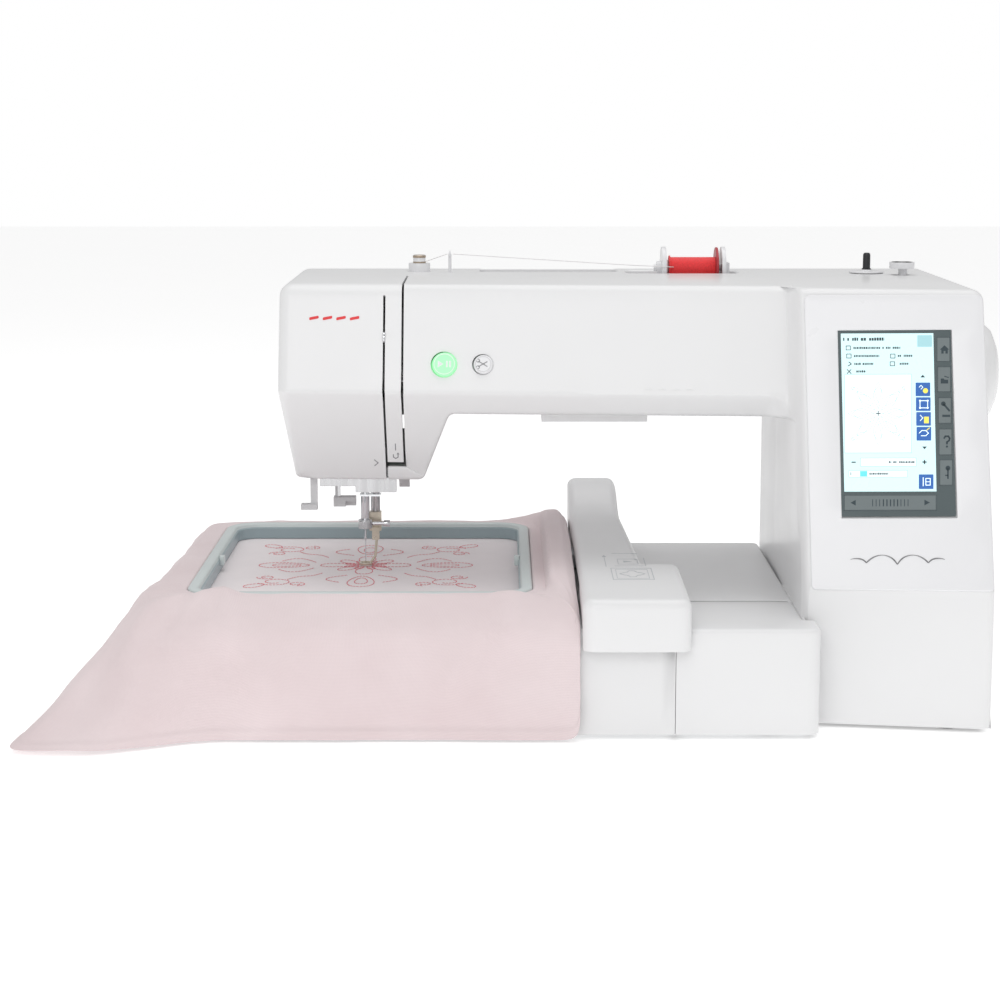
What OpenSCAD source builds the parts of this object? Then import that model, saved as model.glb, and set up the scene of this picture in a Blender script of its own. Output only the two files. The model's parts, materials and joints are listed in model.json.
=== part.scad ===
// Embroidery machine with its hoop and a hooped cloth. Units: mm. Z up, front is -Y.
// Lengths are laid out from the needle (x = 0, y = 0) and then shifted into the row frame.

/* [Frame] */
// Shift from the needle line to the middle of the outline, across
frame_x = 121.933; // [100:0.001:140]
// Shift from the needle line to the middle of the outline, front to back
frame_y = -39.131; // [-60:0.001:-20]

/* [Casing] */
// Height of the bed top above the table
bed_top = 75; // [60:1:90]
// Height of the casing top above the table
case_top = 293; // [280:1:310]
// Height of the arm underside above the table
arm_under = 203; // [190:1:215]
// Height of the crease along the arm front
crease_z = 219; // [210:1:235]
// Wall thickness of the moulded shells
wall = 2.5; // [2:0.1:4]
// Gap between neighbouring shells
seam = 0.4; // [0.2:0.1:1]
// Height of the rubber feet
foot_h = 3; // [2:0.5:6]

/* [Needle area] */
// Height of the needle tip above the table with the needle at mid stroke
tip_z = 80.5; // [78:0.5:95]
// Radius of the needle bar
bar_r = 3.2; // [2.5:0.1:4]
// Radius of the presser bar
presser_r = 3.5; // [3:0.1:4]

/* [Hoop] */
// Clear width of the hoop opening, across
hoop_w = 220; // [160:1:240]
// Clear length of the hoop opening, front to back
hoop_l = 260; // [160:1:280]
// Width of the inner ring section
ring_in = 9; // [5:0.5:12]
// Width of the outer ring section
ring_out = 8; // [5:0.5:12]
// Thickness of the cloth
cloth_t = 0.6; // [0.4:0.1:1]

/* [Drive] */
// Height of the upper shaft above the table
shaft_z = 223.5; // [215:0.5:240]
// Radius of the upper shaft
shaft_r = 7; // [5:0.5:9]
// Radius of the handwheel
wheel_r = 38; // [30:1:45]

/* [Hidden] */
tan20 = tan(20);
hoop_c = [4, -20];                 // hoop centre
hxi = hoop_w/2; hyi = hoop_l/2;    // half opening
hook_y = -21;                      // hook and bobbin axis
low_y = hook_y + 18.3;             // lower shaft axis, beside the hook gear
low_z = 47;
motor_y = 62; motor_z = 130;
white = [0.93,0.93,0.94]; grey = [0.62,0.64,0.66]; dark = [0.16,0.17,0.18];
steel = [0.72,0.73,0.75]; alu = [0.66,0.67,0.68]; brass = [0.75,0.6,0.3];

// ---------- helpers ----------
module T() translate([-frame_x,-frame_y,0]) children();
module box(x0,x1,y0,y1,z0,z1) translate([x0,y0,z0]) cube([x1-x0,y1-y0,z1-z0]);
module rsq(x0,y0,x1,y1,r) {
  translate([x0+r,y0]) square([x1-x0-2*r,y1-y0]);
  translate([x0,y0+r]) square([x1-x0,y1-y0-2*r]);
  for (x=[x0+r,x1-r], y=[y0+r,y1-r]) translate([x,y]) circle(r,$fn=32);
}
module rbox(x0,x1,y0,y1,z0,z1,r) translate([0,0,z0]) linear_extrude(z1-z0) rsq(x0,y0,x1,y1,r);
module xcyl(x0,x1,y,z,r,fn=48) translate([x0,y,z]) rotate([0,90,0]) cylinder(h=x1-x0,r=r,$fn=fn);
module ycyl(y0,y1,x,z,r,fn=48) translate([x,y0,z]) rotate([-90,0,0]) cylinder(h=y1-y0,r=r,$fn=fn);
module zcyl(z0,z1,x,y,r,fn=48) translate([x,y,z0]) cylinder(h=z1-z0,r=r,$fn=fn);
module yz(x0,x1) translate([x0,0,0]) rotate([90,0,90]) linear_extrude(x1-x0) children();
// frame lying on the arm front: x along the arm, z up the face, -y out of the face
module on_arm(x,z) translate([-56,-88,crease_z]) rotate([0,0,-3.54]) translate([(x+56)*1.002,0,0])
  rotate([-20.05,0,0]) translate([0,0,(z-crease_z)/cos(20.05)]) children();
// frame lying on the leaning column front
module on_col(u,h) translate([306,-172,97]) rotate([0,0,-8.42]) translate([u,0,0])
  rotate([-20,0,0]) translate([0,0,h]) children();

// ---------- casing solids, i = inset from the outer face ----------
module arm_solid(i=0) intersection() {
  translate([-56,-88,0]) rotate([0,0,-3.54]) yz(-30,420)
    polygon([[10+0.554*i,arm_under+i],[1.107*i,crease_z+0.116*i],[27+0.7*i,case_top-i],
             [230,case_top-2-i],[230,arm_under+i]]);
  rbox(-56+i,330,-200,111-i,190,300,10-i);
}
module col_solid(i=0,z0=3) intersection() {
  translate([306,-172,0]) rotate([0,0,-8.42]) yz(-60,160)
    polygon([[i,z0],[i,97-0.176*i],[i/cos(20)+(case_top-97-i)*tan20,case_top-i],
             [330,case_top-i],[330,z0]]);
  rbox(306+i,431-i,-230,111-i,z0,300,8-i);
}
module flare_solid(i=0) hull() {
  intersection() { arm_solid(i); box(288,288.6,-200,120,200,300); }
  intersection() { col_solid(i); box(308.4,309,-200,120,arm_under+i,300); }
}
module head_solid(i=0) hull() {
  translate([0,0,crease_z-0.2]) linear_extrude(0.2)
    polygon([[-56+i,-87.8+1.2*i],[71-i,-95.5+1.2*i],[71-i,75-i],[-56+i,75-i]]);
  translate([0,0,i>0?149.9:150]) linear_extrude(0.1)
    polygon([[-48+i,-40+1.2*i],[45-i,-46+1.2*i],[45-i,50-i],[-48+i,50-i]]);
}
module c_solid(i=0,fl=true) { arm_solid(i); col_solid(i,i>0?2.9:3); if (fl) flare_solid(i); head_solid(i); }
module c_shell(fl=true) difference() {
  c_solid(0,fl);
  c_solid(wall,fl);
  // way through from the column into the bed
  box(300,312,-164,104,-1,70);
}

module front_shell() color(white) difference() {
  intersection() {
    c_shell();
    union() { box(32.8,460,-300,20-seam/2,0,400); box(19.8,33,-300,20-seam/2,100,161); }
  }
  on_arm(61.2,238.4) rotate([-90,0,0]) cylinder(h=20,r=9,center=true,$fn=48);
  on_arm(88.4,238.6) rotate([-90,0,0]) cylinder(h=20,r=7.2,center=true,$fn=48);
  leaning(334,405,-3,9,52.5,177);
  xcyl(420,440,0,shaft_z,10);
  box(130,205,-72,-48,198,210);
  box(301,306.01,-172.8,-100,-1,75.2);
}
module rear_shell() color(white) difference() {
  union() {
    intersection() { c_shell(false); box(-100,460,20+seam/2,200,0,400); }
    box(194.2,283,44,88,274,291.5);                 // spool trough skin
    box(83,192,62,109.5,277,291.5);                 // handle recess skin
  }
  box(196.5,280.5,46.5,85.5,276.5,300);
  ycyl(45,87,273,284,1.85);                         // spool stand pin
  box(85,190,64,107.5,279,300);
  box(371.5,387,45.5,54.5,280,300);                 // winder slot
  box(392,406,26,34,280,300);                       // stopper slot
  xcyl(82.5,192.5,100,285.5,2.05);                       // handle pin
  zcyl(285,300,39,70,3.2); zcyl(285,300,62.5,60,1.3);
  box(22,32,40,82,149,184);                         // notch for the presser lifter
  for (k=[0:7]) box(330,410,100,120,60+k*10,64+k*10);      // vents
  box(425,440,52.6,69.4,54,86);                     // switch opening
  box(425,440,34,92,22,48);                         // socket opening
  for (p=[[-40,270],[-40,215],[150,220],[290,270],[415,270],[415,30]]) ycyl(100,120,p[0],p[1],3.2);
}
module face_cover() color(white) intersection() {
  c_shell();
  union() {
    box(-100,18.2,-300,20-seam/2,100,400);
    box(19.8,31.2,-300,20-seam/2,164.5,400);
    box(18,20,-300,20-seam/2,285.5,400);
  }
}
// slab on the leaning face between two upright planes
module leaning(x0,x1,y0,y1,h0,h1) intersection() {
  on_col(-60,h0) translate([0,y0,0]) cube([260,y1-y0,h1-h0]);
  box(x0,x1,-230,0,60,320);
}
module display_panel() color(white) difference() {
  leaning(309.8,429.4,-2.5,-0.1,0.7,206);
  leaning(331.3,407.5,-4,2,49.6,179.7);
}
module touch_screen() color([0.45,0.55,0.58]) leaning(331.6,407.2,-2.3,-0.5,49.9,179.4);
module lcd_module() color(dark) { leaning(335,404,-0.3,6.7,54,176); leaning(340,398,6.7,9.7,64,164); }
module control_board() {
  color([0.1,0.35,0.2]) box(420,421.6,-95,95,85,190);
  color(dark) { box(412,420,-60,-40,100,120); box(414,420,0,30,110,140); box(410,420,50,62,95,150); }
  color(steel) for (y=[-80,-20,40]) xcyl(408,420,y,170,5);
}

// ---------- bed ----------
module base_plate() color(alu) difference() {
  union() {
    rbox(-68.6,305.4,-201.6,107.6,3,6,4);
    box(304,312,-160,100,3,6);
    translate([0,0,3]) linear_extrude(3) polygon([[311.6,-168.6],[427,-186],[427,103.6],[423,107.6],[309,107.6],[309,-150]]);
  }
  for (p=[[-50,-182],[-50,90],[280,-182],[405,-165],[405,90],[170,90]]) zcyl(0,10,p[0],p[1],3);
}
module rubber_feet() color(dark) for (p=[[-50,-182],[-50,90],[280,-182],[405,-165],[405,90],[170,90]]) {
  zcyl(0,3,p[0],p[1],12); zcyl(3,7,p[0],p[1],2.9);
}
module bed_cover() color(white) difference() {
  union() {
    difference() { rbox(-72,305.6,-112,111,3,bed_top,6); box(-69,310,-120,108,-1,bed_top-3); box(-80,-60,-113,-100,80,90); }
    box(-72,51.8,-114.2,-111,bed_top-3,bed_top);
    box(302,305.6,-114.2,-111,bed_top-3,bed_top);
    box(-72,-69,-114.2,-105,3,bed_top);
    box(300,305.6,-112,-104,bed_top-3,bed_top);
  }
  box(-80.3,60.3,-96.3,40.3,60,90);
}
module front_cover_left() color(white) difference() {
  union() {
    difference() { rbox(-72,230,-205,-100,3,bed_top,6); box(-69,240,-202,-90,-1,bed_top-3); }
  }
  box(217,240,-300,0,-1,100);
  box(-100,52,-114.6,0,-1,100);
  box(51.9,240,-116,0,-1,100);
}
module front_cover_right() color(white) difference() {
  rbox(200,314,-205,-90,3,bed_top,6);
  box(190,305.6,-202,-80,-1,bed_top-3);
  box(300,311,-202,-80,-1,bed_top-3);
  box(190,217.4,-300,0,-1,100);
  box(190,302,-116,0,-1,100);
  box(301.9,320,-114.6,0,-1,100);
  box(305.6,330,-173.8,0,-1,100);
}
module needle_plate() color(steel) difference() {
  rbox(-80,60,-96,40,bed_top-1.8,bed_top+0.8,3);
  box(-21,21,-92,-5.6,bed_top-0.4,bed_top+5);
  zcyl(60,90,0,hook_y,14.6);
  rbox(-3.5,3.5,-3,3,60,90,2.5);
  for (x=[-70,50]) { zcyl(60,90,x,25,2.1); zcyl(bed_top-0.3,90,x,25,3.8); }
}
module bobbin_cover() color([0.8,0.85,0.87,0.6]) difference() {
  rbox(-20.6,20.6,-46,-6,bed_top-0.3,bed_top+0.7,2);
  box(-6,6,-42,-39,bed_top+0.2,bed_top+3);
}
module case_screws() color(steel) {
  for (p=[[-40,270],[-40,215],[150,220],[290,270],[415,270],[415,30]]) ycyl(104,111,p[0],p[1],2.9);
  for (x=[-70,50]) { zcyl(bed_top-8,bed_top-0.2,x,25,2); zcyl(bed_top-0.25,bed_top+0.7,x,25,3.6); }
}
module bobbin_holder() color(dark) difference() {
  zcyl(58.4,71.5,0,hook_y,13.9);
  zcyl(60,80,0,hook_y,11.2);
}
module bobbin() color([0.9,0.9,0.85]) difference() {
  union() { zcyl(60.4,61.4,0,hook_y,10.4); zcyl(61.4,70.6,0,hook_y,8.4); zcyl(70.6,71.6,0,hook_y,10.4); }
  zcyl(60,80,0,hook_y,3);
}
module rotary_hook() color(steel) difference() {
  union() { zcyl(56,68.5,0,hook_y,19); zcyl(37.4,56,0,hook_y,4); zcyl(43,51,0,hook_y,10); zcyl(30,37.4,0,hook_y,3.9); }
  zcyl(58,80,0,hook_y,14.3);
  translate([0,hook_y,0]) rotate([0,0,35]) box(10,30,-3,3,62,80);
}
module bed_frame() color(alu) {
  for (x=[[34,42],[306.5,312]]) difference() {
    box(x[0],x[1],-132,-96,6,53);
    for (y=[-122,-106]) xcyl(x[0]-1,x[1]+1,y,46,4);
  }
  box(-68.4,-62,18,30,6,bed_top-9); box(46,56,27,39,6,bed_top-9);
  for (x=[-60,50]) box(x,x+8,-95.8,-88,6,bed_top-2.1);
  x_motor();
}
module x_rails() color(steel) for (y=[-122,-106]) xcyl(34.5,311.5,y,46,3.95);
module x_motor() color(dark) { zcyl(6.2,38,10,-150,19); zcyl(38,50,10,-150,2.5); zcyl(42,49,10,-150,6); }

// ---------- frame casting and drive ----------
module main_casting() color(alu) difference() {
  union() {
    box(-35,378,18,26,28,64);           // lower beam
    box(330,378,18,26,28,262);          // column web
    box(-30,378,18,26,232,270);         // upper beam
    box(-30,25,18,26,154,272);          // head web
    box(-30,378,10,18,262,268);         // stiffening rib
    for (x=[60,340]) { xcyl(x,x+12,0,shaft_z,13); box(x,x+12,0,20,shaft_z-13,shaft_z+13); box(x,x+12,18,26,shaft_z-13,240); }
    for (x=[40,345]) { xcyl(x,x+12,low_y,low_z,11); box(x,x+12,low_y,20,low_z-11,low_z+11); }
    box(-12,12,-30,26,26,36.8);         // hook bearing arm
    box(-14,4.5,-7,20,246,256);         // upper needle bar bearing
    box(-14,20,-7,20,158,168);          // lower bearing for both bars
    box(20.5,26,-24,20,250,260);        // take-up bearing arm
    xcyl(18,21,-20,255,2);
    box(12,20.3,24,39,167,177);         // lifter bearing
    xcyl(20,31,34,172,2.4);
    for (x=[0,350]) box(x,x+20,18,60,6,30);
  }
  for (x=[60,340]) xcyl(x-5,x+20,0,shaft_z,shaft_r+0.05);
  for (x=[40,345]) xcyl(x-5,x+20,low_y,low_z,6.05);
  zcyl(24,40,0,hook_y,3.95);
  zcyl(240,260,0,0,bar_r+0.05);
  zcyl(150,175,0,0,bar_r+0.05);
  zcyl(150,175,7,12,presser_r+0.05);
  xcyl(4,20.4,0,shaft_z,19.6);       // crank pocket
}
module main_motor() color(dark) { xcyl(318,376,motor_y,motor_z,26); xcyl(376,380,motor_y,motor_z,9);
  box(322,370,motor_y-20,motor_y+20,motor_z-32,motor_z-20); }
module motor_pulley() color(steel) { xcyl(398,406,motor_y,motor_z,6.4); xcyl(380.6,398,motor_y,motor_z,2.5); xcyl(406,408,motor_y,motor_z,8); }
module belt(x0,x1,a,ra,b,rb) yz(x0,x1) difference() {
  hull() { translate(a) circle(ra+1.8,$fn=48); translate(b) circle(rb+1.8,$fn=48); }
  hull() { translate(a) circle(ra+0.4,$fn=48); translate(b) circle(rb+0.4,$fn=48); }
}
module drive_belts() color(dark) {
  belt(385,393,[0,shaft_z],16,[low_y,low_z],16);
  belt(399,405,[0,shaft_z],32,[motor_y,motor_z],6.4);
}
module upper_shaft() color(steel) {
  xcyl(20,445,0,shaft_z,shaft_r);
  xcyl(384,394,0,shaft_z,16); xcyl(398,406,0,shaft_z,32);
}
module handwheel() color(white) translate([434,0,shaft_z]) rotate([0,90,0]) rotate_extrude($fn=96)
  polygon([[7.05,0],[30,0],[wheel_r-2,1],[wheel_r,4],[wheel_r,16],[wheel_r-1.5,21],[wheel_r-6,26],
           [wheel_r-14,29.5],[16,31],[0,31],[0,12],[7.05,12]]);
module needle_crank() color(steel) {
  difference() { xcyl(13.8,20,0,shaft_z,19); xcyl(13,21,11,shaft_z+11,4); }
  xcyl(6.4,13.8,0,shaft_z-15,3);
}
module lower_shaft() color(steel) { xcyl(-12,396,low_y,low_z,6); xcyl(-7,7,low_y,low_z,8); xcyl(384,394,low_y,low_z,16); }

// ---------- needle area ----------
module needle_bar() color(steel) {
  difference() { zcyl(108,238,0,0,bar_r); zcyl(100,117,0,0,1.05); }
  difference() { box(-4,12,-3.6,3.6,131,132.4); zcyl(120,140,0,0,bar_r-0.05); }
}
module needle_clamp() color(steel) difference() {
  union() { zcyl(106.5,113,0,0,5.2); box(-4.6,2,-6.4,-2,107,112); }
  zcyl(108,120,0,0,bar_r+0.02); zcyl(100,110,0,0,1.05);
  xcyl(2,8,0,110,1.2);
}
module clamp_screw() color(steel) { xcyl(3.3,6,0,110,1.1); xcyl(6,14,0,110,1.5); xcyl(14,18.4,0,110,2.5); }
module needle() color(steel) {
  zcyl(tip_z+19,116,0,0,1.0);
  translate([0,0,tip_z+16]) cylinder(h=3,r1=0.45,r2=1,$fn=24);
  zcyl(tip_z+3,tip_z+16,0,0,0.45,24);
  translate([0,0,tip_z]) cylinder(h=3,r1=0.08,r2=0.45,$fn=24);
}
module presser_bar() color(steel) { zcyl(106,192,7,12,presser_r); zcyl(184,190,7,12,5); }
module embroidery_foot() color(steel) {
  difference() { box(2.6,11.4,7.6,16.4,103,117); zcyl(106,130,7,12,presser_r+0.02); }
  box(4.6,10,4.8,12,96.6,106);
  hull() { zcyl(95.6,97,8,6,1,16); zcyl(84,85,7,5,0.9,16); }
  hull() { zcyl(84,85,7,5,0.9,16); zcyl(79.2,80.6,3.6,2.4,0.7,16); }
  translate([0,0,79]) difference() { cylinder(h=1.6,r=5,$fn=48); translate([0,0,-1]) cylinder(h=4,r=3.4,$fn=48); }
}
module presser_lifter() color([0.85,0.85,0.86]) difference() {
  union() {
    xcyl(20.8,30,34,172,5);
    hull() { xcyl(24,30,34,172,3.5,24); xcyl(24,30,55,140,2.5,24); }
    hull() { xcyl(23,31,55,140,3,24); xcyl(23,31,60,131,3,24); }
  }
  xcyl(19,32,34,172,2.45);
}
module take_up_lever() color(steel) difference() {
  union() {
    xcyl(18.4,20,-20,255,4);
    box(18.5,19.5,-72,-20,253,257);
    xcyl(18.5,19.5,-76,256,4.6);
  }
  xcyl(17,22,-20,255,2.05);
  xcyl(17,22,-76,256,1.6,24);
}
module needle_threader() color([0.88,0.88,0.9]) {
  zcyl(131,200,-20,-4,2);
  difference() { box(-23,-6.6,-8,2,124,131); box(-14,-5,-9,-3,122,128); }
  box(-36,-18,-6,-2,150,153);
  box(-36,-33,-30,-2,150,153);
  box(-38,-33,-32,-28,130,153);
  box(-45,-33,-34,-26,126,130);
}
module threader_plate() color([0.7,0.68,0.66]) {
  box(-5,25,-34,-26,139,150);
  box(-31,-5,-34,-31.5,143.5,150);
  box(-18,-16,-34,-31.5,136,144);
  box(17,25,-30,-24,148,157);
  box(21,24,-26,18,152,157);
}
module tension_unit() color(steel) {
  box(44,60,-56,18,246,262);
  for (k=[0:2]) xcyl(35+k*3,36.4+k*3,-44,254,12);
  xcyl(34,44,-44,254,3);
}
module lamp_lens() color([1,1,0.95]) { box(130.3,204.7,-71.7,-48.3,202,205); box(127,208,-75,-45,205.8,207.4); box(131,204,-71,-49,205,205.8); }
module start_button() color([0.5,0.9,0.5]) on_arm(61.2,238.4) rotate([-90,0,0]) {
  translate([0,0,-2]) cylinder(h=6.5,r=8.7,$fn=48); translate([0,0,4.5]) cylinder(h=1.5,r=10.2,$fn=48); }
module cutter_button() color(white) on_arm(88.4,238.6) rotate([-90,0,0]) {
  translate([0,0,-2]) cylinder(h=6.5,r=6.9,$fn=48); translate([0,0,4.5]) cylinder(h=1.5,r=8.4,$fn=48); }

// ---------- top of the casing ----------
module thread_guides() color(white) {
  zcyl(286,295,39,70,3.1); zcyl(292,299.3,39,70,8.2); zcyl(299.3,305.4,39,70,4.7);
  color(steel) { zcyl(284,306.8,62.5,60,1.2,24);
    translate([62.5,60,306.8]) rotate([0,90,0]) difference() { cylinder(h=1.6,r=2.6,center=true,$fn=32); cylinder(h=4,r=1.4,center=true,$fn=32); } }
}
module winder_arm() color(grey) {
  box(370,384,44,56,284,288);
  zcyl(288,290.2,377,50,3.9);
}
module winder_spindle() {
  color(white) zcyl(293.4,294.8,377,50,13);
  color(dark) { zcyl(290.5,308.4,377,50,2.8); zcyl(262,284,377,50,0.01+2.8); }
}
module winder_stopper() color(white) { zcyl(284,298,401,30,3.4); zcyl(298,302.6,400.2,30,9.3); zcyl(284,288,401,30,5); }
module spool_pin() color(white) {
  xcyl(217.5,269,66,296,2.6);
  xcyl(268.4,271.4,66,296,16);
  box(271.4,274.5,58,74,281,300);
  ycyl(45.5,86.5,273,284,1.8);
}
module thread_spool() {
  color([0.9,0.2,0.25]) difference() { union() { xcyl(230,264,66,296,8.2); xcyl(264,266,66,296,15.6); xcyl(228.6,230,66,296,9.4); } xcyl(220,270,66,296,2.75); }
}
module spool_cap() color(white) difference() {
  union() { xcyl(223,226.5,66,296,16); xcyl(219.5,223,66,296,5); xcyl(226.5,228.2,66,296,6); }
  xcyl(210,240,66,296,2.7);
}
module strand(a,b,r=0.3) { v=b-a; l=norm(v); translate(a) rotate([0,acos(v[2]/l),atan2(v[1],v[0])]) cylinder(h=l,r=r,$fn=12); }
module upper_thread() color([0.95,0.9,0.9]) {
  strand([232,57.4,297],[227.2,48.6,297.8]);
  strand([227.2,48.6,297.8],[196,48.6,299.2]);
  strand([196,48.6,299.2],[64.8,59,306.8]);
  strand([60.5,59,306.8],[44,69,300.6]);
}

// ---------- embroidery arm and hoop ----------
module arm_plan(i=0) {
  polygon([[155+i,-209+i],[163,-217+i],[219,-217+i],[227-i,-209+i],[227-i,-98-i],[221,-92-i],
           [202.3-i,-92-i],[193-i,157],[185,165-i],[161,165-i],[155+i,159-i]]);
}
module arm_side(i=0) polygon([[-218,62.5],[-207-i*0,62.5],[-207,77],[170,77],[170,119.5-i],[146,119.5-i],
  [138,117.5-i],[124,109-i],[112,102-i],[100,100-i],[-218,97-i]]);
module arm_cover() color(white) difference() {
  intersection() { translate([0,0,60]) linear_extrude(70) arm_plan(0); yz(140,240) arm_side(0); }
  intersection() { translate([0,0,60]) linear_extrude(70) arm_plan(2); yz(130,250)
    polygon([[-215,60],[-207,60],[-207,70],[170,70],[170,117.5],[146,117.5],[138,115.5],[124,107],[112,100],[100,98],[-218,95]]); }
  box(150,158,-142,122,79.6,92.4);
}
module arm_base() {
  color(grey) intersection() { box(140,240,-206.6,170,77.2,79.2); translate([0,0,70]) linear_extrude(20) arm_plan(2.3); }
  color(steel) {
    box(168,202,-115.5,-112.5,52,78);
    difference() { box(165,205,-130,-98,38,54); for (y=[-122,-106]) xcyl(160,210,y,46,4.05); }
    ycyl(-146,131,176,88,3);
    for (y=[-150,126]) box(168,184,y,y+5,79,94);
  }
  color(dark) zcyl(79,112,174,149,12);
}
module y_carriage() color(grey) {
  difference() { box(166,186,-30,10,82,94.5); ycyl(-40,20,176,88,3.05); }
  box(152,167,-25,5,81.5,91);
  box(140,152.2,-32,12,80,91.6);
}
module ring2(a,b,rr_) difference() {
  translate(hoop_c) rsq(-a,-b,a,b,rr_);
  children();
}
module inner_hoop() color([0.75,0.8,0.8]) {
  translate([0,0,78.15]) linear_extrude(11.85) ring2(hxi+ring_in-0.15,hyi+ring_in-0.15,28)
    translate(hoop_c) rsq(-hxi,-hyi,hxi,hyi,16);
  for (s=[-1,1]) translate([hoop_c[0]+s*(hxi-1.5),hoop_c[1],86]) cube([3.4,9,8],center=true);
}
module outer_hoop() color([0.68,0.74,0.74]) difference() {
  union() {
    translate([0,0,76.6]) linear_extrude(11.4) ring2(hxi+ring_in+0.8+ring_out,hyi+ring_in+0.8+ring_out,33.8)
      translate(hoop_c) rsq(-hxi-ring_in-0.8,-hyi-ring_in-0.8,hxi+ring_in+0.8,hyi+ring_in+0.8,25.8);
    box(131,139.8,-30,10,78,87.5);
    for (x=[52,64]) box(x,x+6,-177.5,-167,77.5,85);
    color(steel) { xcyl(50,72,-172.6,81.3,1.8,24); xcyl(72,80,-172.6,81.3,3.4,24); }
  }
  box(60,62,-190,-159.4,70,90);
  xcyl(59,63,-172.6,81.3,0.01);
}
module hoop_lock() color(white) { zcyl(91.8,97,146,-10,5.2); box(145,147,-10,2,92.2,96); }

// ---------- cloth ----------
// stations run round the hoop: 0 front middle, 1 front left, 2 left, 3 back left,
// 4 back middle, 5 back right, 6 right, 7 front right
function rq(t,a,b,r) = t<0.8 ? [-(a-r)*t/0.8,-b]
  : t<1.2 ? let(w=270-90*(t-0.8)/0.4) [-(a-r)+r*cos(w),-(b-r)+r*sin(w)]
  : [-a,-(b-r)*(2-t)/0.8];
function ring_pt(t,d) = let(a=hxi+ring_in+d,b=hyi+ring_in+d,r=25+d)
  t<=2 ? hoop_c+rq(t,a,b,r)
  : t<=4 ? let(p=rq(4-t,a,b,r)) hoop_c+[p[0],-p[1]]
  : t<=6 ? let(p=rq(t-4,a,b,r)) hoop_c-p
  : let(p=rq(8-t,a,b,r)) hoop_c+[-p[0],p[1]];
K = [
 [0.0,[4,-188,90],[4,-207,77.5],[4,-209,40],[4,-210,1.5]],
 [0.8,[-90,-188,90],[-94,-207,77],[-97,-209,40],[-99,-211,1.5]],
 [0.9,[-124,-187,86],[-136,-208,62],[-148,-224,28],[-172,-243,1.5]],
 [1.0,[-142,-180,82],[-166,-200,52],[-192,-221,24],[-221,-243,2]],
 [1.1,[-148,-158,81],[-168,-166,50],[-184,-174,24],[-204,-186,2]],
 [1.2,[-149,-126,81],[-164,-130,50],[-174,-133,24],[-184,-136,2]],
 [1.6,[-140,-70,84],[-153,-72,50],[-161,-75,22],[-168,-78,1.5]],
 [2.0,[-137,-20,84],[-150,-22,50],[-158,-25,20],[-163,-28,1.5]],
 [2.8,[-136,100,83],[-149,102,48],[-157,104,22],[-162,106,2]],
 [3.0,[-132,134,82],[-146,148,48],[-153,155,24],[-160,160,3]],
 [3.2,[-100,139,82],[-104,147,48],[-106,152,24],[-108,156,2]],
 [4.0,[4,139,82],[4,146,50],[4,150,25],[4,152,2]],
 [4.8,[96,139,84],[100,146,54],[102,150,28],[104,152,2]],
 [4.9,[117,138,89],[121,146,62],[124,151,32],[126,153,3]],
 [5.0,[132,131,96],[142,140,88],[148,147,60],[150,150,34]],
 [5.1,[136,118,100],[146,122,100],[151.5,128,90],[152.2,132,80]],
 [5.2,[136,100,102],[146,101,103],[151.8,101,95],[152.2,101,92.8]],
 [6.0,[136,-20,103],[146,-20,104],[152,-20,98],[152.2,-20,93.8]],
 [6.8,[137,-126,99],[146,-128,98],[151.8,-128,92],[152.2,-128,86]],
 [6.9,[146,-156,92],[151,-174,85],[152.6,-184,81],[152.8,-192,78.4]],
 [6.96,[147,-174,88],[152,-202,79],[153.2,-207.5,76.8],[153.4,-208,71]],
 [7.0,[144,-182,87],[152.6,-207,77],[153.6,-209,40],[153.6,-210,2]],
 [7.1,[126,-187,88],[134,-207,77],[137,-209,40],[139,-210,1.5]],
 [7.2,[100,-188,90],[104,-207,77.5],[106,-209,40],[108,-210,1.5]],
 [8.0,[4,-188,90],[4,-207,77.5],[4,-209,40],[4,-210,1.5]]];
ST = [0,0.2,0.4,0.6,0.8,0.86,0.9,0.95,1,1.05,1.1,1.15,1.2,1.4,1.6,1.8,2,2.2,2.4,2.6,2.8,2.87,2.93,3,3.07,3.13,3.2,
      3.4,3.6,3.8,4,4.2,4.4,4.6,4.8,4.85,4.9,4.95,5,5.05,5.1,5.2,5.4,5.6,5.8,6,6.2,6.4,6.6,6.8,6.85,6.9,6.93,6.96,7,7.05,7.1,7.2,7.4,7.6,7.8];
NS = len(ST);
function seg(t,i=0) = K[i+1][0]>=t ? i : seg(t,i+1);
function kp(t,r) = let(i=seg(t),u=(t-K[i][0])/(K[i+1][0]-K[i][0])) K[i][r]*(1-u)+K[i+1][r]*u;
function mid(j,r) = let(t=ST[(j+NS)%NS]) r==0 ? concat(ring_pt(t,9.2),[88.4]) : kp(t,r);
function unit(v) = v/max(norm(v),1e-6);
function nrm(j,r) = unit(cross(mid(j+1,r)-mid(j-1,r), mid(j,min(r+1,4))-mid(j,r-1)));
function side_rows(s) = [ for (r=[0:6]) for (j=[0:NS-1])
  r==0 ? concat(ring_pt(ST[j],0.4-s*0.3),[77.7+s*0.3])
  : r==1 ? concat(ring_pt(ST[j],0.4-s*0.3),[88.4+s*0.3])
  : r==2 ? concat(ring_pt(ST[j],9.2),[88.4+s*0.3])
  : mid(j,r-2)+s*0.3*nrm(j,r-2) ];
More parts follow.
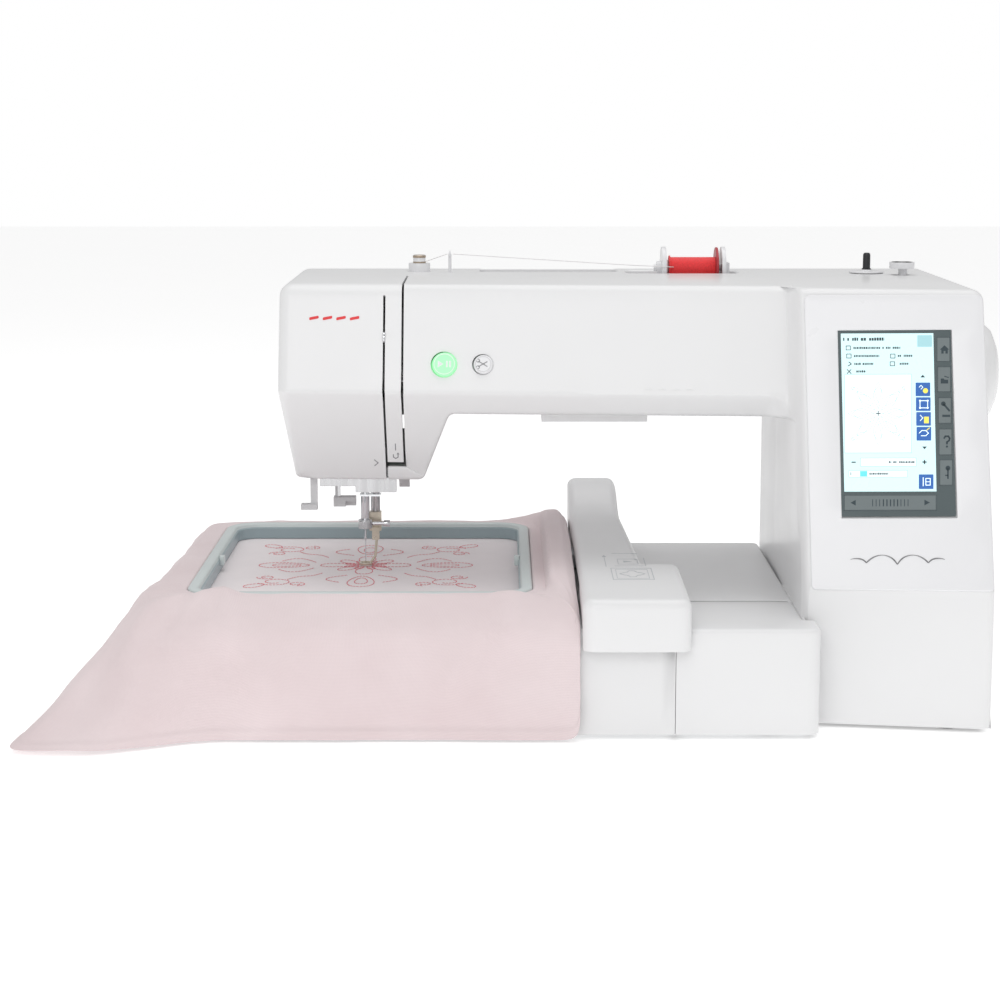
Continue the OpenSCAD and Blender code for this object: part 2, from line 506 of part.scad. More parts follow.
module cloth() color([0.93,0.88,0.89]) {
  top = side_rows(1); bot = side_rows(-1); n = len(top);
  polyhedron(points=concat(top,bot,[[hoop_c[0],hoop_c[1],78]],[[hoop_c[0],hoop_c[1],77.4]]),
    faces=concat(
      [for (r=[0:5]) for (j=[0:NS-1]) let(k=(j+1)%NS) [r*NS+j,(r+1)*NS+j,(r+1)*NS+k]],
      [for (r=[0:5]) for (j=[0:NS-1]) let(k=(j+1)%NS) [r*NS+j,(r+1)*NS+k,r*NS+k]],
      [for (r=[0:5]) for (j=[0:NS-1]) let(k=(j+1)%NS) [n+r*NS+j,n+r*NS+k,n+(r+1)*NS+k]],
      [for (r=[0:5]) for (j=[0:NS-1]) let(k=(j+1)%NS) [n+r*NS+j,n+(r+1)*NS+k,n+(r+1)*NS+j]],
      [for (j=[0:NS-1]) let(k=(j+1)%NS) [6*NS+k,6*NS+j,n+6*NS+j]],
      [for (j=[0:NS-1]) let(k=(j+1)%NS) [6*NS+k,n+6*NS+j,n+6*NS+k]],
      [for (j=[0:NS-1]) let(k=(j+1)%NS) [2*n,j,k]],
      [for (j=[0:NS-1]) let(k=(j+1)%NS) [2*n+1,n+k,n+j]]));
}

// ---------- handle and right side ----------
module carrying_handle() color(white) {
  for (x=[87,180]) { box(x,x+8,68,100,281.5,289.5); xcyl(x,x+8,100,285.5,4); }
  xcyl(83.3,191.7,100,285.5,1.98);
  rbox(87,188,66,76,281.5,290,3);
}
module power_switch() color(dark) { box(429.6,433.2,54.3,67.7,57,83); ycyl(52.9,69.1,431,70,1.6,32); }
module side_sockets() color(dark) difference() {
  box(424,431.6,34.4,91.6,22.4,47.6);
  box(427,440,38,58,26,44);
  box(427,440,64,72,30,34);
  xcyl(426,440,82,34,3.6);
}

T() base_plate();
T() rubber_feet();
T() main_casting();
T() bed_frame();
T() front_shell();
T() rear_shell();
T() face_cover();
T() display_panel();
T() touch_screen();
T() lcd_module();
T() control_board();
T() bed_cover();
T() front_cover_left();
T() front_cover_right();
T() needle_plate();
T() case_screws();
T() bobbin_holder();
T() lamp_lens();
T() main_motor();
T() thread_guides();
T() tension_unit();
T() drive_belts();
T() x_rails();
T() side_sockets();
T() threader_plate();
T() upper_thread();
T() handwheel();
T() upper_shaft();
T() needle_crank();
T() lower_shaft();
T() motor_pulley();
T() rotary_hook();
T() bobbin();
T() needle_bar();
T() needle_clamp();
T() clamp_screw();
T() needle();
T() presser_bar();
T() embroidery_foot();
T() presser_lifter();
T() take_up_lever();
T() needle_threader();
T() start_button();
T() cutter_button();
T() winder_arm();
T() winder_spindle();
T() winder_stopper();
T() spool_pin();
T() thread_spool();
T() spool_cap();
T() arm_cover();
T() arm_base();
T() y_carriage();
T() outer_hoop();
T() inner_hoop();
T() cloth();
T() hoop_lock();
T() bobbin_cover();
T() power_switch();
T() carrying_handle();
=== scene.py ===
# Embroidery machine with a hooped cloth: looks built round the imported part.
import math, json
import bpy, bmesh
import numpy as np
from mathutils import Vector, Matrix, noise
from mathutils.geometry import delaunay_2d_cdt
from mathutils.kdtree import KDTree

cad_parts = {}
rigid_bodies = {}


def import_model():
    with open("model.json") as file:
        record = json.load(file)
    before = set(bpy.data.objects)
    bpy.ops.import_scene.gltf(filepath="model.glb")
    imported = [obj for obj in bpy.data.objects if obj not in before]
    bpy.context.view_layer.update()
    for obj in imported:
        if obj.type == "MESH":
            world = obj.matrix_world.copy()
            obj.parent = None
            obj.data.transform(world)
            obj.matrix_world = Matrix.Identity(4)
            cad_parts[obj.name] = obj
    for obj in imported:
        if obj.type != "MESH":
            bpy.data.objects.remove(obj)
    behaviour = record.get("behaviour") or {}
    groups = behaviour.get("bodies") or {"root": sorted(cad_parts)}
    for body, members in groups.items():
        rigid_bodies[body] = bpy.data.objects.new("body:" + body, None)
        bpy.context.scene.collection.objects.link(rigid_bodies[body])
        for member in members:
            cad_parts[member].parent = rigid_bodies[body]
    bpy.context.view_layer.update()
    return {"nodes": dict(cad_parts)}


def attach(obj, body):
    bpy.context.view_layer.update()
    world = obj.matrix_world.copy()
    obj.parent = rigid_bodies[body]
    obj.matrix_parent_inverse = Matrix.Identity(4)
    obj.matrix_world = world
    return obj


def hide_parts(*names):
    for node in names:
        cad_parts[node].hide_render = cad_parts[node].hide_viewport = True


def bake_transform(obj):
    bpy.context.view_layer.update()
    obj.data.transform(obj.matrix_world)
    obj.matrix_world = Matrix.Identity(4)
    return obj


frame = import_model()
OX, OY = 121.933, -39.131          # needle line to row frame, mm
rng = np.random.default_rng(7)
SC = bpy.context.scene


def P(p):
    return ((p[0] - OX) * .001, (p[1] - OY) * .001, p[2] * .001)


# ------------------------------------------------------------------ camera and light
cam = bpy.data.objects.new("camera", bpy.data.cameras.new("camera"))
SC.collection.objects.link(cam)
cam.location = P((100.5, -1690.8, 410.6))
cam.rotation_euler = (math.radians(80.5), 0, 0)
cam.data.sensor_width = 36
cam.data.lens = 82.8
cam.data.clip_end = 30
SC.camera = cam
SC.view_settings.view_transform = "Standard"
SC.view_settings.look = "None"

world = bpy.data.worlds.new("studio")
SC.world = world
world.use_nodes = True
wt = world.node_tree
wn = wt.nodes["Background"]
wn.inputs[0].default_value = (1, 1, 1, 1)
wn.inputs[1].default_value = .55
wb = wt.nodes.new("ShaderNodeBackground")
wb.inputs[0].default_value = (1, 1, 1, 1)
wb.inputs[1].default_value = 1.0
wl = wt.nodes.new("ShaderNodeLightPath")
wm = wt.nodes.new("ShaderNodeMixShader")
wt.links.new(wl.outputs["Is Camera Ray"], wm.inputs[0])
wt.links.new(wn.outputs[0], wm.inputs[1])
wt.links.new(wb.outputs[0], wm.inputs[2])
wt.links.new(wm.outputs[0], wt.nodes["World Output"].inputs[0])


def area(name, loc, target, size, power, col=(1, 1, 1)):
    l = bpy.data.lights.new(name, "AREA")
    l.shape = "RECTANGLE"
    l.size, l.size_y = size
    l.energy = power
    l.color = col
    o = bpy.data.objects.new(name, l)
    SC.collection.objects.link(o)
    o.location = loc
    d = Vector(target) - Vector(loc)
    o.rotation_euler = d.to_track_quat("-Z", "Y").to_euler()
    return o


area("key", (-0.6, -2.0, 1.3), (0, 0, .12), (1.4, 1.2), 9.5)
area("fill", (1.3, -1.3, .9), (0, -.05, .08), (.9, .9), .9)
area("top", (0.1, 0.1, 1.9), (0, 0, .1), (1.8, 1.4), 12.0)


# ------------------------------------------------------------------ materials
def nodes_of(m):
    m.use_nodes = True
    nt = m.node_tree
    b = nt.nodes["Principled BSDF"]
    return nt, b


def make_mat(name, base, rough=.4, metal=0., var=.03, vscale=12., rvar=.06, rscale=60., bump=.02, bscale=900.,
             bdist=.0004, coat=0., coat_rough=.1, spec=.5, trans=0., ior=1.46, sheen=0., emit=None, emit_s=0.,
             aniso=None, stretch=None, alpha=1.0, fine="noise"):
    m = bpy.data.materials.new(name)
    nt, b = nodes_of(m)
    N, L = nt.nodes, nt.links
    tc = N.new("ShaderNodeTexCoord")
    mp = N.new("ShaderNodeMapping")
    L.new(tc.outputs["Object"], mp.inputs["Vector"])
    if stretch:
        mp.inputs["Scale"].default_value = stretch
    n1 = N.new("ShaderNodeTexNoise")
    n1.inputs["Scale"].default_value = vscale
    n1.inputs["Detail"].default_value = 5
    L.new(mp.outputs[0], n1.inputs["Vector"])
    cr = N.new("ShaderNodeValToRGB")
    lo = tuple(max(0, c * (1 - var)) for c in base[:3]) + (1,)
    hi = tuple(min(1, c * (1 + var)) for c in base[:3]) + (1,)
    cr.color_ramp.elements[0].position = .3
    cr.color_ramp.elements[0].color = lo
    cr.color_ramp.elements[1].position = .7
    cr.color_ramp.elements[1].color = hi
    L.new(n1.outputs["Fac"], cr.inputs[0])
    L.new(cr.outputs[0], b.inputs["Base Color"])
    n2 = N.new("ShaderNodeTexNoise")
    n2.inputs["Scale"].default_value = rscale
    n2.inputs["Detail"].default_value = 4
    L.new(mp.outputs[0], n2.inputs["Vector"])
    mr = N.new("ShaderNodeMapRange")
    mr.inputs["From Min"].default_value = .25
    mr.inputs["From Max"].default_value = .75
    mr.inputs["To Min"].default_value = max(.02, rough - rvar)
    mr.inputs["To Max"].default_value = min(1, rough + rvar)
    L.new(n2.outputs["Fac"], mr.inputs["Value"])
    L.new(mr.outputs[0], b.inputs["Roughness"])
    n3 = N.new("ShaderNodeTexNoise")
    n3.inputs["Scale"].default_value = bscale
    n3.inputs["Detail"].default_value = 3
    L.new(mp.outputs[0], n3.inputs["Vector"])
    bp = N.new("ShaderNodeBump")
    bp.inputs["Strength"].default_value = bump
    bp.inputs["Distance"].default_value = bdist
    L.new(n3.outputs["Fac"], bp.inputs["Height"])
    L.new(bp.outputs[0], b.inputs["Normal"])
    b.inputs["Metallic"].default_value = metal
    b.inputs["Specular IOR Level"].default_value = spec
    b.inputs["IOR"].default_value = ior
    b.inputs["Coat Weight"].default_value = coat
    b.inputs["Coat Roughness"].default_value = coat_rough
    b.inputs["Transmission Weight"].default_value = trans
    b.inputs["Sheen Weight"].default_value = sheen
    b.inputs["Alpha"].default_value = alpha
    if emit:
        b.inputs["Emission Color"].default_value = (*emit, 1)
        b.inputs["Emission Strength"].default_value = emit_s
    return m


WHITE = make_mat("white_plastic", (.80, .80, .805), rough=.36, var=.008, vscale=9, rvar=.05, rscale=40, bump=.10, bscale=1500, bdist=.00012, coat=.25, coat_rough=.18)
WHITE2 = make_mat("white_plastic_panel", (.80, .80, .815), rough=.3, var=.008, vscale=9, rvar=.04, rscale=40, bump=.06, bscale=1700, bdist=.0001, coat=.35, coat_rough=.12)
GREYP = make_mat("grey_plastic", (.50, .52, .54), rough=.45, var=.03, rvar=.06, bump=.2, bscale=1800, bdist=.00015)
LGREY = make_mat("light_grey_plastic", (.66, .66, .67), rough=.4, var=.03, rvar=.06, bump=.15, bscale=1800, bdist=.00015)
DARK = make_mat("dark_plastic", (.022, .023, .026), rough=.42, var=.15, rvar=.08, bump=.2, bscale=1600, bdist=.00015)
BLACKG = make_mat("black_gloss", (.012, .012, .013), rough=.16, var=.1, rvar=.04, bump=.03, bscale=900, coat=.5)
RUBBER = make_mat("rubber", (.02, .02, .02), rough=.75, var=.2, rvar=.1, bump=.4, bscale=1400, bdist=.0003)
ALU = make_mat("cast_aluminium", (.55, .56, .57), rough=.5, metal=1, var=.06, rvar=.12, rscale=200, bump=.35, bscale=900, bdist=.0003)
STEEL = make_mat("steel", (.62, .62, .63), rough=.27, metal=1, var=.05, vscale=60, rvar=.08, rscale=300, bump=.08, bscale=1200, bdist=.0001, stretch=(1, 1, .08))
CHROME = make_mat("chrome", (.74, .75, .77), rough=.12, metal=1, var=.03, vscale=80, rvar=.05, rscale=400, bump=.03, bscale=1500, bdist=.0001)
BRASSY = make_mat("bronze_trim", (.42, .34, .26), rough=.35, metal=1, var=.1, vscale=90, rvar=.1, rscale=300, bump=.1, bscale=1500, bdist=.0001)
BOARD = make_mat("circuit_board", (.03, .12, .06), rough=.45, var=.3, vscale=220, rvar=.1, bump=.3, bscale=500)
HOOPT = make_mat("hoop_plastic", (.60, .66, .655), rough=.42, var=.02, rvar=.03, bump=.015, bscale=1500, bdist=.0001, coat=.3)
# darker copy of the hoop colour for the ring's inner wall: painted shade, standing in for the wall facing away from the
# light
HOOP_WALL_SHADE = make_mat("hoop_wall_painted_shade", (.33, .41, .435), rough=.38, var=.03, rvar=.03, bump=.015, bscale=1500, bdist=.0001, coat=.2)
CLEAR = make_mat("clear_plastic", (.86, .88, .9), rough=.12, var=.01, rvar=.03, bump=.03, bscale=800, trans=.75, ior=1.49)
MILKY = make_mat("milky_plastic", (.70, .70, .71), rough=.3, var=.02, rvar=.05, bump=.05, bscale=900, trans=.25, ior=1.49)
REDTH = make_mat("red_thread", (.86, .045, .05), rough=.45, var=.12, vscale=900, rvar=.1, bump=.5, bscale=2500, bdist=.0002, sheen=.2)
REDFL = make_mat("red_flange", (.42, .03, .04), rough=.35, var=.08, rvar=.06, bump=.05, bscale=900)
PALETH = make_mat("pale_thread", (.80, .78, .78), rough=.5, var=.06, vscale=900, rvar=.1, bump=.4, bscale=2500, bdist=.0002)
STITCH = make_mat("stitch_thread", (.74, .055, .10), rough=.5, var=.15, vscale=700, rvar=.1, bump=.5, bscale=3500, bdist=.0002, sheen=.3)
LED = make_mat("lamp_diffuser", (.95, .95, .93), rough=.5, var=.01, bump=.1, bscale=900, emit=(1, 1, .97), emit_s=3.0)
GREENK = make_mat("green_key", (.35, .78, .42), rough=.3, var=.02, bump=.05, bscale=1500, emit=(.30, .95, .42), emit_s=.42)
LCDM = make_mat("lcd_light", (.45, .6, .62), rough=.25, var=.02, vscale=60, bump=.02, bscale=900, emit=(.60, .86, .88), emit_s=.62)
LCDW = make_mat("lcd_white", (.6, .7, .72), rough=.25, var=.02, bump=.02, bscale=900, emit=(.80, .95, .97), emit_s=.68)
INKD = make_mat("ink_dark", (.03, .05, .06), rough=.4, var=.1, bump=.05, bscale=900)
INKG = make_mat("ink_grey", (.30, .30, .31), rough=.5, var=.05, bump=.05, bscale=900)
INKC = make_mat("lcd_faint", (.30, .52, .56), rough=.4, var=.05, bump=.05, bscale=900, emit=(.36, .62, .66), emit_s=.4)
INKB = make_mat("lcd_blue", (.02, .09, .30), rough=.3, var=.05, bump=.05, bscale=900, emit=(.02, .12, .42), emit_s=.5)
INKY = make_mat("lcd_yellow", (.7, .62, .1), rough=.3, var=.05, bump=.05, bscale=900, emit=(.8, .7, .1), emit_s=.5)
INKCY = make_mat("lcd_cyan", (.1, .5, .66), rough=.3, var=.05, bump=.05, bscale=900, emit=(.12, .66, .85), emit_s=.6)
BEZEL = make_mat("screen_bezel", (.075, .10, .105), rough=.33, var=.05, rvar=.05, bump=.06, bscale=1300, bdist=.0001)
KEYM = make_mat("screen_keys", (.155, .185, .19), rough=.33, var=.04, rvar=.05, bump=.06, bscale=1300, bdist=.0001)
REDINK = make_mat("red_mark", (.72, .03, .035), rough=.35, var=.04, bump=.03, bscale=900)
BLUEDOT = make_mat("blue_mark", (.05, .22, .60), rough=.35, var=.04, bump=.03, bscale=900)
BEIGE = make_mat("foot_metal", (.70, .63, .52), rough=.3, metal=.75, var=.05, vscale=200, rvar=.08, bump=.1, bscale=1500, bdist=.0001)


def cloth_mat():
    m = bpy.data.materials.new("cotton")
    nt, b = nodes_of(m)
    N, L = nt.nodes, nt.links
    tc = N.new("ShaderNodeTexCoord")
    w = []
    for rot in (0, math.radians(90)):
        mp = N.new("ShaderNodeMapping")
        mp.inputs["Rotation"].default_value = (0, 0, rot)
        L.new(tc.outputs["UV"], mp.inputs["Vector"])
        wv = N.new("ShaderNodeTexWave")
        wv.wave_type = "BANDS"
        wv.bands_direction = "X"
        wv.inputs["Scale"].default_value = 330
        wv.inputs["Distortion"].default_value = .8
        wv.inputs["Detail"].default_value = 1.5
        L.new(mp.outputs[0], wv.inputs["Vector"])
        w.append(wv)
    mul = N.new("ShaderNodeMath")
    mul.operation = "MAXIMUM"
    L.new(w[0].outputs["Fac"], mul.inputs[0])
    L.new(w[1].outputs["Fac"], mul.inputs[1])
    n1 = N.new("ShaderNodeTexNoise")
    n1.inputs["Scale"].default_value = 14
    n1.inputs["Detail"].default_value = 6
    L.new(tc.outputs["Object"], n1.inputs["Vector"])
    cr = N.new("ShaderNodeValToRGB")
    cr.color_ramp.elements[0].color = (.765, .645, .655, 1)
    cr.color_ramp.elements[1].color = (.82, .71, .72, 1)
    cr.color_ramp.elements[0].position = .3
    cr.color_ramp.elements[1].position = .7
    L.new(n1.outputs["Fac"], cr.inputs[0])
    mx = N.new("ShaderNodeMixRGB")
    mx.blend_type = "MULTIPLY"
    mx.inputs["Fac"].default_value = .10
    L.new(cr.outputs[0], mx.inputs[1])
    L.new(mul.outputs[0], mx.inputs[2])
    L.new(mx.outputs[0], b.inputs["Base Color"])
    add = N.new("ShaderNodeMath")
    add.operation = "ADD"
    n2 = N.new("ShaderNodeTexNoise")
    n2.inputs["Scale"].default_value = 260
    n2.inputs["Detail"].default_value = 4
    L.new(tc.outputs["Object"], n2.inputs["Vector"])
    L.new(mul.outputs[0], add.inputs[0])
    L.new(n2.outputs["Fac"], add.inputs[1])
    bp = N.new("ShaderNodeBump")
    bp.inputs["Strength"].default_value = .35
    bp.inputs["Distance"].default_value = .00025
    L.new(add.outputs[0], bp.inputs["Height"])
    L.new(bp.outputs[0], b.inputs["Normal"])
    b.inputs["Roughness"].default_value = .85
    b.inputs["Sheen Weight"].default_value = .25
    b.inputs["Sheen Roughness"].default_value = .5
    b.inputs["Specular IOR Level"].default_value = .2
    return m


COTTON = cloth_mat()
# paler copy of the cotton for the flat cloth inside the hoop, which faces up into the light: painted light
COTTON_LIT_FLAT = make_mat("cotton_in_hoop_painted_light", (.86, .80, .81), rough=.85, var=.02, vscale=30, rvar=.05, bump=.4, bscale=2600, bdist=.0002, sheen=.2, spec=.2)


def floor_mat():
    m = make_mat("floor", (.93, .93, .93), rough=.75, var=.004, vscale=3, rvar=.05, bump=.02, bscale=300)
    return m


bpy.ops.mesh.primitive_plane_add(size=14, location=(0, 0, -.0002))
floor = bpy.context.object
floor.name = "floor"
fmat = floor_mat()
fsh = [n for n in fmat.node_tree.nodes if n.type == "BSDF_PRINCIPLED"][0]
fsh.inputs["Emission Color"].default_value = (1, 1, 1, 1)
fsh.inputs["Emission Strength"].default_value = .43
floor.data.materials.append(fmat)


# ------------------------------------------------------------------ mesh helpers
def sharp_by_angle(me, deg):
    bm = bmesh.new()
    bm.from_mesh(me)
    lim = math.radians(deg)
    for f in bm.faces:
        f.smooth = True
    for e in bm.edges:
        if len(e.link_faces) == 2:
            e.smooth = e.calc_face_angle(0) < lim
        else:
            e.smooth = False
    bm.to_mesh(me)
    bm.free()


def obj_from(name, verts, faces, mat, body=None, angle=32, replaces=(), slot=None, mm=True):
    me = bpy.data.meshes.new(name)
    vs = [P(v) for v in verts] if mm else [tuple(v) for v in verts]
    me.from_pydata(vs, [], [tuple(int(i) for i in f) for f in faces])
    me.update()
    for k in (mat if isinstance(mat, (list, tuple)) else [mat]):
        me.materials.append(k)
    sharp_by_angle(me, angle)
    o = bpy.data.objects.new(name, me)
    SC.collection.objects.link(o)
    if body:
        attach(o, body)
    if replaces:
        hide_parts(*replaces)
    return o


def bake(o, angle=32):
    dg = bpy.context.evaluated_depsgraph_get()
    me = bpy.data.meshes.new_from_object(o.evaluated_get(dg))
    old = o.data
    o.modifiers.clear()
    o.data = me
    bpy.data.meshes.remove(old)
    sharp_by_angle(me, angle)
    return o


def boolean(o, cutter, op="DIFFERENCE", angle=32, keep=False):
    md = o.modifiers.new("b", "BOOLEAN")
    md.operation = op
    md.object = cutter
    md.solver = "EXACT"
    bpy.context.view_layer.update()
    bake(o, angle)
    if not keep:
        bpy.data.objects.remove(cutter)
    return o


def solid(name, verts, faces, mat=None):
    me = bpy.data.meshes.new(name)
    me.from_pydata([P(v) for v in verts], [], [tuple(f) for f in faces])
    bm = bmesh.new()
    bm.from_mesh(me)
    bmesh.ops.recalc_face_normals(bm, faces=bm.faces)
    bm.to_mesh(me)
    bm.free()
    if mat:
        me.materials.append(mat)
    o = bpy.data.objects.new(name, me)
    SC.collection.objects.link(o)
    return o


def rpoly(pts, rad, n=5):
    """Polygon with filleted corners; pts [(x,y)], rad one radius per corner."""
    out = []
    m = len(pts)
    for i in range(m):
        p = Vector(pts[i])
        a = Vector(pts[i - 1])
        b = Vector(pts[(i + 1) % m])
        r = rad[i] if hasattr(rad, "__len__") else rad
        if r <= 0:
            out.append(tuple(p))
            continue
        u = (a - p).normalized()
        v = (b - p).normalized()
        th = u.angle(v)
        t = min(r / math.tan(th / 2), (a - p).length * .49, (b - p).length * .49)
        r = t * math.tan(th / 2)
        c = p + (u + v).normalized() * (r / math.sin(th / 2))
        s = p + u * t - c
        e = p + v * t - c
        for k in range(n + 1):
            f = k / n
            w = s.angle(e)
            q = (s * math.sin((1 - f) * w) + e * math.sin(f * w)) / math.sin(w)
            out.append(tuple(c + q))
    return out


def prism(name, poly, axis, a, b, mat=None):
    """Closed prism from a 2D outline. axis x: outline is (y, z); y: (x, z); z: (x, y)."""
    n = len(poly)
    put = {"x": lambda p, h: (h, p[0], p[1]), "y": lambda p, h: (p[0], h, p[1]), "z": lambda p, h: (p[0], p[1], h)}[axis]
    vs = [put(p, a) for p in poly] + [put(p, b) for p in poly]
    fs = [tuple(range(n))[::-1], tuple(range(n, 2 * n))] + [(i, (i + 1) % n, n + (i + 1) % n, n + i) for i in range(n)]
    return solid(name, vs, fs, mat)


def dens(poly, step, closed=True):
    out = []
    m = len(poly)
    for i in range(m if closed else m - 1):
        a = np.array(poly[i], float)
        b = np.array(poly[(i + 1) % m], float)
        k = max(1, int(math.ceil(np.linalg.norm(b - a) / step)))
        for j in range(k):
            out.append(tuple(a + (b - a) * j / k))
    if not closed:
        out.append(tuple(poly[-1]))
    return out


def seg_dist(pts, poly, closed):
    A = np.array(poly, float)
    B = np.roll(A, -1, 0) if closed else A[1:]
    A = A if closed else A[:-1]
    Q = np.array(pts, float)
    d = np.full(len(Q), 1e9)
    for a, b in zip(A, B):
        ab = b - a
        L = float(ab @ ab)
        t = np.clip(((Q - a) @ ab) / L, 0, 1) if L > 1e-12 else np.zeros(len(Q))
        q = a + np.outer(t, ab)
        d = np.minimum(d, np.hypot(Q[:, 0] - q[:, 0], Q[:, 1] - q[:, 1]))
    return d


def inside(pts, poly):
    Q = np.array(pts, float)
    c = np.zeros(len(Q), bool)
    m = len(poly)
    for i in range(m):
        x1, y1 = poly[i]
        x2, y2 = poly[(i + 1) % m]
        if y1 == y2:
            continue
        cond = (Q[:, 1] >= min(y1, y2)) & (Q[:, 1] < max(y1, y2))
        xi = x1 + (Q[:, 1] - y1) * (x2 - x1) / (y2 - y1)
        c ^= cond & (Q[:, 0] < xi)
    return c


def offset_poly(poly, d, closed):
    A = np.array(poly, float)
    m = len(A)
    seg = (np.roll(A, -1, 0) - A)
    if not closed:
        seg = seg[:-1]
    ln = np.hypot(seg[:, 0], seg[:, 1])
    seg = seg / np.maximum(ln, 1e-9)[:, None]
    nr = np.stack([-seg[:, 1], seg[:, 0]], 1)
    out = []
    for i in range(m):
        if closed:
            a, b = nr[i - 1], nr[i % len(nr)]
        else:
            a, b = nr[max(i - 1, 0)], nr[min(i, len(nr) - 1)]
        k = 1 + float(a @ b)
        v = (a + b) / max(k, .5)
        out.append(tuple(A[i] + d * v))
    return out


ARC = [0, 15, 30, 50, 70, 90]


def relief(name, outer, surf, push, mat, body, holes=(), curves=(), creases=(), walls=None, wall_to=None,
           thick=2.5, step=10., grid=9., angle=30, replaces=(), region=None):
    """A moulded skin: a plane region (u, v) lifted to a surface, its edges rounded, its sides drawn back, then given a wall."""
    outer = dens(outer, step)
    holes = [dens(h, 4.) for h in holes]
    pts, edges = [], []

    def add(poly, closed):
        s = len(pts)
        pts.extend(poly)
        m = len(poly)
        edges.extend([(s + i, s + i + 1) for i in range(m - 1)])
        if closed:
            edges.append((s + m - 1, s))
    add(outer, True)
    for h in holes:
        add(h, True)
    rings = []
    for c, R, closed in curves:
        c = dens(c, step, closed)
        rings.append((c, R, closed))
        for a in ARC[1:]:
            d = R * (1 - math.cos(math.radians(a)))
            q = offset_poly(c, d, closed)
            ins = inside(q, outer)
            for h in holes:
                ins &= ~inside(q, h)
            s = len(pts)
            pts.extend(q)
            for i in range(len(q) if closed else len(q) - 1):
                j = (i + 1) % len(q)
                if ins[i] and ins[j]:
                    edges.append((s + i, s + j))
    for c in creases:
        add(dens(c, step, False), False)
    O = np.array(outer)
    lo, hi = O.min(0), O.max(0)
    gx = np.arange(lo[0] + grid / 2, hi[0], grid)
    gy = np.arange(lo[1] + grid / 2, hi[1], grid)
    G = np.array([(x, y) for x in gx for y in gy])
    near = np.array([p for p in pts])
    keep = inside(G, outer)
    for h in holes:
        keep &= ~inside(G, h)
    G = G[keep]
    if len(G):
        d2 = np.full(len(G), 1e9)
        for k in range(0, len(near), 400):
            nn = near[k:k + 400]
            d2 = np.minimum(d2, ((G[:, None, :] - nn[None]) ** 2).sum(2).min(1))
        G = G[d2 > (grid * .42) ** 2]
        pts.extend([tuple(g) for g in G])
    # drop ring points that fell outside
    ok = inside(pts, outer) | (seg_dist(pts, outer, True) < 1e-6)
    for h in holes:
        ok &= ~inside(pts, h) | (seg_dist(pts, h, True) < 1e-6)
    remap = {}
    P2 = []
    for i, p in enumerate(pts):
        if ok[i]:
            remap[i] = len(P2)
            P2.append(p)
    E2 = [(remap[a], remap[b]) for a, b in edges if a in remap and b in remap]
    V, E, F, *_ = delaunay_2d_cdt([Vector(p) for p in P2], E2, [], 0, 1e-4)
    V = np.array([tuple(v) for v in V])
    cen = np.array([V[list(f)].mean(0) for f in F])
    ok = inside(cen, outer)
    for h in holes:
        ok &= ~inside(cen, h)
    F = [f for f, k in zip(F, ok) if k]
    used = sorted({i for f in F for i in f})
    mp = {u: k for k, u in enumerate(used)}
    V = V[used]
    F = [tuple(mp[i] for i in f) for f in F]
    X = surf(V[:, 0], V[:, 1])
    push = np.array(push, float)
    drop = np.zeros(len(V))
    for c, R, closed in rings:
        d = seg_dist(V, c, closed)
        dr = np.where(d < R, R - np.sqrt(np.maximum(R * R - (R - d) ** 2, 0)), 0)
        drop = np.maximum(drop, dr)
    X = X + drop[:, None] * push[None]
    bm = bmesh.new()
    bv = [bm.verts.new(P(x)) for x in X]
    for f in F:
        try:
            bm.faces.new([bv[i] for i in f])
        except ValueError:
            pass
    bm.normal_update()
    nsum = Vector((0, 0, 0))
    for f in bm.faces:
        nsum += f.normal * f.calc_area()
    if nsum.dot(Vector(push)) > 0:
        bmesh.ops.reverse_faces(bm, faces=bm.faces)
    if wall_to is not None:
        wl = [(outer, True)] if walls is None else walls
        onw = np.zeros(len(V), bool)
        for c, closed in wl:
            onw |= seg_dist(V, c, closed) < 1e-3
        flag = {bv[i]: onw[i] for i in range(len(V))}
        pos = {bv[i]: i for i in range(len(V))}
        be = []
        for e in bm.edges:
            if e.is_boundary and flag[e.verts[0]] and flag[e.verts[1]]:
                m2 = (V[pos[e.verts[0]]] + V[pos[e.verts[1]]]) / 2
                if min(seg_dist([m2], c, cl)[0] for c, cl in wl) < 1e-3:
                    be.append(e)
        r = bmesh.ops.extrude_edge_only(bm, edges=be)
        nv = [g for g in r["geom"] if isinstance(g, bmesh.types.BMVert)]
        for v in nv:
            p = (v.co.x * 1000 + OX, v.co.y * 1000 + OY, v.co.z * 1000)
            v.co = P(wall_to(p))
        bmesh.ops.recalc_face_normals(bm, faces=bm.faces)
        bm.normal_update()
        nsum = Vector((0, 0, 0))
        nf = len(F)
        bm.faces.ensure_lookup_table()
        for f in bm.faces[:nf]:
            nsum += f.normal * f.calc_area()
        if nsum.dot(Vector(push)) > 0:
            bmesh.ops.reverse_faces(bm, faces=bm.faces)
    me = bpy.data.meshes.new(name)
    bm.to_mesh(me)
    bm.free()
    me.materials.append(mat)
    o = bpy.data.objects.new(name, me)
    SC.collection.objects.link(o)
    if thick:
        md = o.modifiers.new("wall", "SOLIDIFY")
        md.thickness = thick * .001
        md.offset = -1
        md.use_even_offset = True
        md.thickness_clamp = 0
        bpy.context.view_layer.update()
        kd = KDTree(len(me.vertices))
        for v in me.vertices:
            kd.insert(v.co, v.index)
        kd.balance()
        bake(o, angle)
        for v in o.data.vertices:
            q, i_, dd = kd.find(v.co)
            if dd > thick * .0021:
                v.co = q + (v.co - q).normalized() * thick * .0012
    else:
        sharp_by_angle(me, angle)
    if body:
        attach(o, body)
    if replaces:
        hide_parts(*replaces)
    return o


def smooth01(t):
    t = np.clip(t, 0, 1)
    return t * t * (3 - 2 * t)


